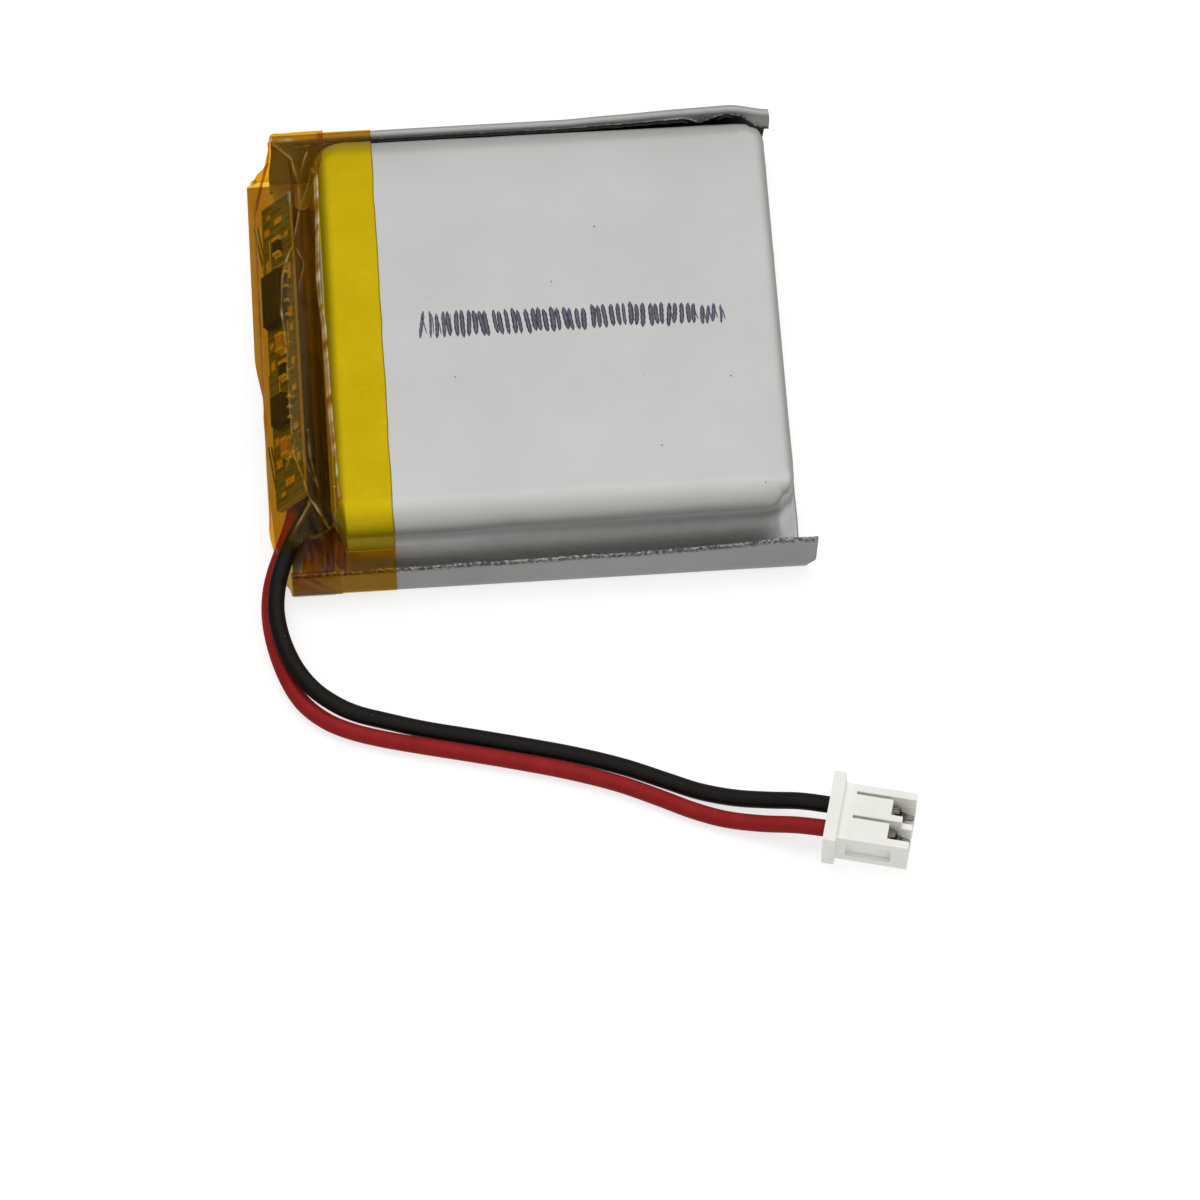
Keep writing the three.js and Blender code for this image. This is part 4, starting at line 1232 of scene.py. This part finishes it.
def trough_film():
    """The inner film that runs from the cup's head wall down behind the board's upper edge."""
    ys = np.linspace(-15.2, 13.6, 90)
    sections = []
    for y in ys:
        top = float(table(y, [(-15.2, 6.6), (-10, 7.2), (12, 7.2), (13.6, 6.6)]))
        dip = 0.5 + 0.12 * float(ripple(y, 7, 71))
        points = [
            (-0.03, top), (-0.1, 6.2), (-0.25, 5.2), (-0.5, 4.5 - dip * 0.3), (-0.9, 4.3 - dip * 0.5),
            (-1.3, 4.4 - dip * 0.3), (-1.72, 4.62),
        ]
        sections.append(resample(catmull(points, 6), 40))
    grid = swept(sections, ys, 1)
    shell("board_tape_trough", grid, FILM_THICKNESS, TROUGH_FILM)


trough_film()


def link_folds():
    """Two narrow folds of the nickel links that push up against the film's outer edge."""
    places = (((-4.74, 14.2), (-4.24, 10.6)), ((-4.52, -5.6), (-4.02, -10.0)))
    for number, (start, end) in enumerate(places):
        line = np.linspace((*start, 0.62), (*end, 0.86), 12)
        verts, faces = [], []
        for x, y, z in line:
            verts += [(x - 0.17, y, z - 0.1), (x - 0.08, y, z + 0.03), (x + 0.1, y, z + 0.08)]
            verts += [(x + 0.2, y, z - 0.02), (x + 0.1, y, z - 0.12)]
        for k in range(len(line) - 1):
            for i in range(5):
                j = (i + 1) % 5
                faces.append((k * 5 + i, k * 5 + 5 + i, k * 5 + 5 + j, k * 5 + j))
        faces.append((4, 3, 2, 1, 0))
        last = 5 * (len(line) - 1)
        faces.append(tuple(last + i for i in range(5)))
        piece(f"link_fold_{number}", verts, faces, NICKEL)


link_folds()


def film_base():
    """The film's underside: flat below the head, then up and over the front flap's end."""
    section = [(-18.05, 2.2), (-18.16, 2.9), (-18.24, 3.4), (-18.42, 3.5), (-18.64, 3.38)]
    section += [(-18.69, 2.8), (-18.69, 1.6), (-18.66, 0.6), (-18.45, 0.1), (-17.9, 0.01)]
    section += [(-12, 0.01), (0, 0.01), (12, 0.01), (18.35, 0.01)]
    line = resample(catmull(section, 6), 330)
    flat_edge = table(
        line[:, 0],
        [
            (-18.7, -3.35), (-18, -3.5), (-16.5, -4.55), (-14, -4.5), (-8, -4.8), (-2.4, -4.72),
            (2.7, -5.35), (18.4, -5.3),
        ],
    )
    raised = smooth(0.05, 0.6, line[:, 1])
    left = flat_edge + (-3.32 - flat_edge) * raised
    steps = np.linspace(0, 1, 44)[:, None]
    grid = swept([line] * len(steps), left + (0.49 - left) * steps, 0)
    wave = 0.04 * ripple(grid[..., 0] + grid[..., 2] * 0.7, 1.5, 51)
    grid[..., 1] -= wave * smooth(0.6, 2, grid[..., 2]) * (grid[..., 1] < 0)
    shell("board_tape_base", grid, 0.025, BASE_FILM, facing=-1)


film_base()


def corner_tent():
    """The doubled film that slopes from the cup's front corner down to the front flap."""
    upper = [(0.9, -15.9, 8.35), (0.45, -15.75, 7.2), (0.1, -15.65, 5.6), (-0.6, -15.5, 4.4)]
    upper += [(-1.5, -15.4, 3.9), (-2.3, -15.4, 3.7)]
    lower = [(0.9, -18.25, 3.6), (0.45, -18.3, 3.58), (0.0, -18.3, 3.56), (-0.8, -18.3, 3.55)]
    lower += [(-1.7, -18.3, 3.5), (-2.5, -18.25, 3.4)]
    upper, lower = (resample(catmull(line, 8), 46) for line in (upper, lower))
    grid = np.zeros((46, 40, 3))
    for k, t in enumerate(np.linspace(0, 1, 40)):
        grid[:, k] = upper + (lower - upper) * t
        grid[:, k, 2] -= 0.9 * math.sin(math.pi * t) * (0.4 + 0.6 * np.linspace(0, 1, 46))
        grid[:, k, 1] += 0.25 * math.sin(math.pi * t)
    s = np.linspace(0, 4, 46)[:, None]
    t = np.linspace(0, 3, 40)[None, :]
    grid[..., 2] += 0.12 * np.abs(ripple(s * 1.3 + t * 0.4, 1.6, 61)) * np.sin(t / 3 * math.pi)
    shell("board_tape_corner", grid, FILM_THICKNESS, DOUBLED_FILM, facing=1)


corner_tent()


# ---- felt-pen hatching


def stroke(x, low, high, slant, width, number):
    """One felt-pen stroke as a thin raised ribbon, five points across, and its ink."""
    verts, ink = [], []
    top = CELL_HEIGHT + CROWN
    steps = 16
    for k in range(steps + 1):
        s = k / steps * 2 - 1
        half = width / 2 * max(1 - abs(s) ** 6, 0.15)
        half *= 1 + 0.1 * math.sin(k * 1.7 + number * 2.3)
        px = x + slant * s + 0.03 * math.sin(s * 2.2 + number)
        py = (low + high) / 2 + s * (high - low) / 2
        for across in (-1, -0.62, 0, 0.62, 1):
            verts.append((px + across * half, py, top + 0.008 * (abs(across) < 1)))
            ink.append(max(abs(across) > 0.5, 1 - (k / 3)))
    faces = [
        (k * 5 + j, k * 5 + j + 1, k * 5 + j + 6, k * 5 + j + 5)
        for k in range(steps)
        for j in range(4)
    ]
    return verts, faces, ink


STROKES = 47
HATCH_START, HATCH_LENGTH = 7.9, 22.7


def hatch():
    """A band of short upright felt-pen strokes across the top, faint and untidy at its ends."""
    verts, faces, ink = [], [], []
    for number in range(STROKES):
        t = number / (STROKES - 1)
        x = HATCH_START + HATCH_LENGTH * t + rng.normal(0, 0.05) + 0.1 * (t > 0.55)
        edge = min(t, 1 - t) * 8
        faint = max(1 - edge, 0)
        low = table(t, [(0, -1.6), (0.5, -1.6), (0.7, -1.5), (1, -1.62)]) + rng.normal(0, 0.08)
        high = table(t, [(0, 0.8), (0.4, 0.55), (0.7, 0.6), (1, 0.0)]) + rng.normal(0, 0.09)
        slant = table(t, [(0, 0.06), (0.25, -0.13), (0.6, -0.05), (1, 0.06)])
        slant = slant + rng.normal(0, 0.035)
        width = 0.37 - 0.13 * faint + rng.normal(0, 0.035)
        parts = [(x, low, high, slant, max(width, 0.14))]
        if faint > 0.2 or number % 6 == 2:
            parts.append((x + 0.19, low + 0.3, high - 0.25, -slant - 0.08, 0.09))
        for part in parts:
            more, quads, dark = stroke(*[float(v) for v in part], number)
            start = len(verts)
            verts += more
            ink += [d * (1 - 0.4 * faint) for d in dark]
            faces += [tuple(start + i for i in quad) for quad in quads]
    count = len(verts)
    below = [(x, y, z - 0.012) for x, y, z in verts]
    solid = faces + [tuple(count + i for i in quad[::-1]) for quad in faces]
    rim = {}
    for quad in faces:
        for a, b in zip(quad, quad[1:] + quad[:1]):
            if (b, a) in rim:
                del rim[(b, a)]
            else:
                rim[(a, b)] = True
    solid += [(b, a, a + count, b + count) for a, b in rim]
    obj = piece("pen_hatching", verts + below, solid, INK)
    mark(obj, "ink", ink, ink)


hatch()


# ---- plug


def cutter(low, high):
    """A box that stays in the plug's own frame."""
    verts, faces = bevelled_box(low, high, 0.001, 1)
    mesh = bpy.data.meshes.new("cutter")
    mesh.from_pydata([tuple(v) for v in verts], [], faces)
    obj = bpy.data.objects.new("cutter", mesh)
    scene.collection.objects.link(obj)
    return obj


def apply_modifiers(obj):
    bpy.context.view_layer.update()
    dg = bpy.context.evaluated_depsgraph_get()
    mesh = bpy.data.meshes.new_from_object(obj.evaluated_get(dg))
    obj.modifiers.clear()
    obj.data = mesh


def boolean(obj, low, high, kind="DIFFERENCE"):
    other = cutter(low, high)
    modifier = obj.modifiers.new("cut", "BOOLEAN")
    modifier.object = other
    modifier.operation = kind
    modifier.solver = "EXACT"
    apply_modifiers(obj)
    bpy.data.objects.remove(other)


def plug_housing():
    """The moulded housing in its own frame, in millimetres, then set in place."""
    body = cutter((0.4, -2.35, -2.0), (6.4, 2.35, 1.5))
    boolean(body, (0.0, -2.9, -2.0), (0.95, 2.9, 2.0), "UNION")
    for side in (-1, 1):
        y = side * PLUG_PITCH / 2
        boolean(body, (-1, y - 0.75, -0.75), (7.4, y + 0.75, 0.75))
        boolean(body, (4.7, y - 0.75, -0.1), (7.4, y + 0.75, 3))
        boolean(body, (1.9, y + 0.52, 0.2), (7.4, y + 0.76, 3))
    boolean(body, (1.7, -3.2, -1.3), (5.1, -2.0, 0.75))
    boolean(body, (5.6, -0.28, 0.4), (7.4, 0.28, 3))
    boolean(body, (2.2, 2.0, -1.3), (5.1, 3.2, 0.6))
    bevel = body.modifiers.new("soft", "BEVEL")
    bevel.width = 0.07
    bevel.segments = 3
    bevel.limit_method = "ANGLE"
    bevel.angle_limit = math.radians(40)
    apply_modifiers(body)
    count = len(body.data.vertices)
    flat = np.zeros(count * 3)
    body.data.vertices.foreach_get("co", flat)
    moved = place(plug_frame(flat.reshape(-1, 3)))
    body.data.vertices.foreach_set("co", moved.ravel())
    body.data.update()
    body.name = "plug_shell"
    finish_piece(body, NYLON, False)
    body.data.shade_smooth()
    weighted = body.modifiers.new("even", "WEIGHTED_NORMAL")
    weighted.keep_sharp = False
    apply_modifiers(body)
    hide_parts("plug_housing")
    return body


def plug_contact(name, node, side):
    """A folded contact: crimp wings round the lead, a box with a sprung top and a tip."""
    y = side * PLUG_PITCH / 2
    parts = [
        bevelled_box((0.75, y - 0.42, -0.56), (5.4, y + 0.42, -0.46), 0.02, 1),
        bevelled_box((2.3, y - 0.5, -0.56), (5.35, y - 0.4, 0.36), 0.03, 1),
        bevelled_box((2.3, y + 0.4, -0.56), (5.35, y + 0.5, 0.36), 0.03, 1),
        bevelled_box((2.3, y - 0.48, 0.28), (4.9, y + 0.05, 0.38), 0.03, 1),
        bevelled_box((3.2, y - 0.05, 0.31), (5.25, y + 0.48, 0.41), 0.03, 1),
    ]
    for wing in (-1, 1):
        for middle in (1.1, 1.9):
            parts.append(block(middle, y + wing * 0.4, 0.6, 0.12, -0.5, 0.3, 0.04, 2))
            parts.append(block(middle, y + wing * 0.24, 0.6, 0.36, 0.22, 0.34, 0.05, 2))
    verts, faces = merged(parts)
    outline = [(5.2, 0.46), (5.55, 0.42), (5.85, 0.24), (6.3, 0.22), (6.38, 0.14)]
    start = len(verts)
    for x, half in outline:
        low = -0.5 + 0.35 * smooth(5.3, 5.9, x)
        high = low + 0.42 - 0.2 * float(smooth(5.2, 6.3, x))
        verts += [(x, y - half, low), (x, y + half, low)]
        verts += [(x, y + half * 0.9, high), (x, y - half * 0.9, high)]
    for k in range(len(outline) - 1):
        a, b = start + 4 * k, start + 4 * k + 4
        for i in range(4):
            j = (i + 1) % 4
            faces.append((a + i, b + i, b + j, a + j)[::-1])
    faces.append((start, start + 1, start + 2, start + 3)[::-1])
    last = start + 4 * (len(outline) - 1)
    faces.append((last, last + 1, last + 2, last + 3))
    obj = piece(name, plug_frame(verts), faces, CONTACT, False)
    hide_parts(node)
    return obj


shell_piece = plug_housing()
contact_red = plug_contact("contact_red", "plug_terminal_positive", -1)
contact_black = plug_contact("contact_black", "plug_terminal_negative", 1)

# Point 4 of each route is where the lead comes out of the film.
tuple(place(RED_ROUTE[4]))
tuple(place(BLACK_ROUTE[4]))


# ---- floor and light


def floor():
    """White paper that glows faintly, so that it comes out pure white round the cell."""
    look = Look("paper_sweep")
    colour = look.clouded(60, grey(0.34), grey(0.36), 2)
    glow = {"Emission_Color": grey(1.0), "Emission_Strength": 0.7}
    look.plain(Base_Color=colour, Roughness=0.85, **glow)
    mesh = bpy.data.meshes.new("floor")
    mesh.from_pydata([(-3, -3, 0), (3, -3, 0), (3, 3, 0), (-3, 3, 0)], [], [(0, 1, 2, 3)])
    obj = bpy.data.objects.new("floor", mesh)
    obj.data.materials.append(look.material)
    obj.location.z = -0.00004
    scene.collection.objects.link(obj)
    obj.visible_glossy = False


def overhead_light():
    """One soft box above and behind. It isn't mirrored: the surroundings are."""
    data = bpy.data.lights.new("overhead", "AREA")
    data.shape = "RECTANGLE"
    data.size, data.size_y = 0.5, 0.4
    data.energy = 1.9
    obj = bpy.data.objects.new("overhead", data)
    spot = Vector((-0.1, 0.25, 0.8))
    aim(obj, spot, spot)
    obj.visible_glossy = False


# The studio's brightness by the angle in degrees from straight up towards the front.
STUDIO = [
    (-180, (0.36, 0.36, 0.36)), (-120, (0.3, 0.3, 0.3)), (-92, (0.42, 0.42, 0.41)),
    (-62, (0.54, 0.54, 0.51)), (-45, (0.72, 0.72, 0.68)), (-36, (0.9, 0.9, 0.86)),
    (-28, (1.11, 1.11, 1.13)), (0, (1.08, 1.08, 1.05)), (15, (1.02, 1.01, 0.95)),
    (32, (0.86, 0.85, 0.78)), (62, (0.68, 0.67, 0.61)), (92, (0.44, 0.44, 0.41)),
    (112, (0.2, 0.2, 0.19)), (130, (0.02, 0.02, 0.02)), (140, (0.1, 0.1, 0.1)), (150, (0.5, 0.5, 0.5)),
    (165, (0.56, 0.56, 0.56)), (180, (0.36, 0.36, 0.36)),
]


def surroundings():
    """A pale dome: brightest overhead, greyer down its back and front, and with a dark gap
    under the front horizon that draws the dark line along the cup. It is dimmer past the head."""
    world = bpy.data.worlds.new("studio")
    scene.world = world
    world.use_nodes = True
    sky = Nodes(world.node_tree)
    where = sky.add("ShaderNodeTexCoord").outputs["Generated"]
    axes = sky.add("ShaderNodeSeparateXYZ", {"Vector": where}).outputs
    angle = sky.math("ARCTAN2", sky.math("MULTIPLY", axes["Y"], -1.0), axes["Z"])
    turn = sky.ramp(angle, -math.pi, math.pi)
    bands = sky.add("ShaderNodeValToRGB", {"Fac": turn})
    bands.color_ramp.interpolation = "EASE"
    elements = bands.color_ramp.elements
    elements.remove(elements[-1])
    for number, (degrees, colour) in enumerate(STUDIO):
        spot = (degrees + 180) / 360
        element = elements[0] if number == 0 else elements.new(spot)
        element.position = spot
        element.color = (*colour, 1)
    dim = sky.ramp(axes["X"], -0.8, -0.3, 0.3, 1.0)
    light = {"Color": bands.outputs["Color"], "Strength": dim}
    light = sky.add("ShaderNodeBackground", light).outputs["Background"]
    sky.add("ShaderNodeOutputWorld", {"Surface": light})


floor()
overhead_light()
surroundings()
scene.view_settings.view_transform = "Standard"
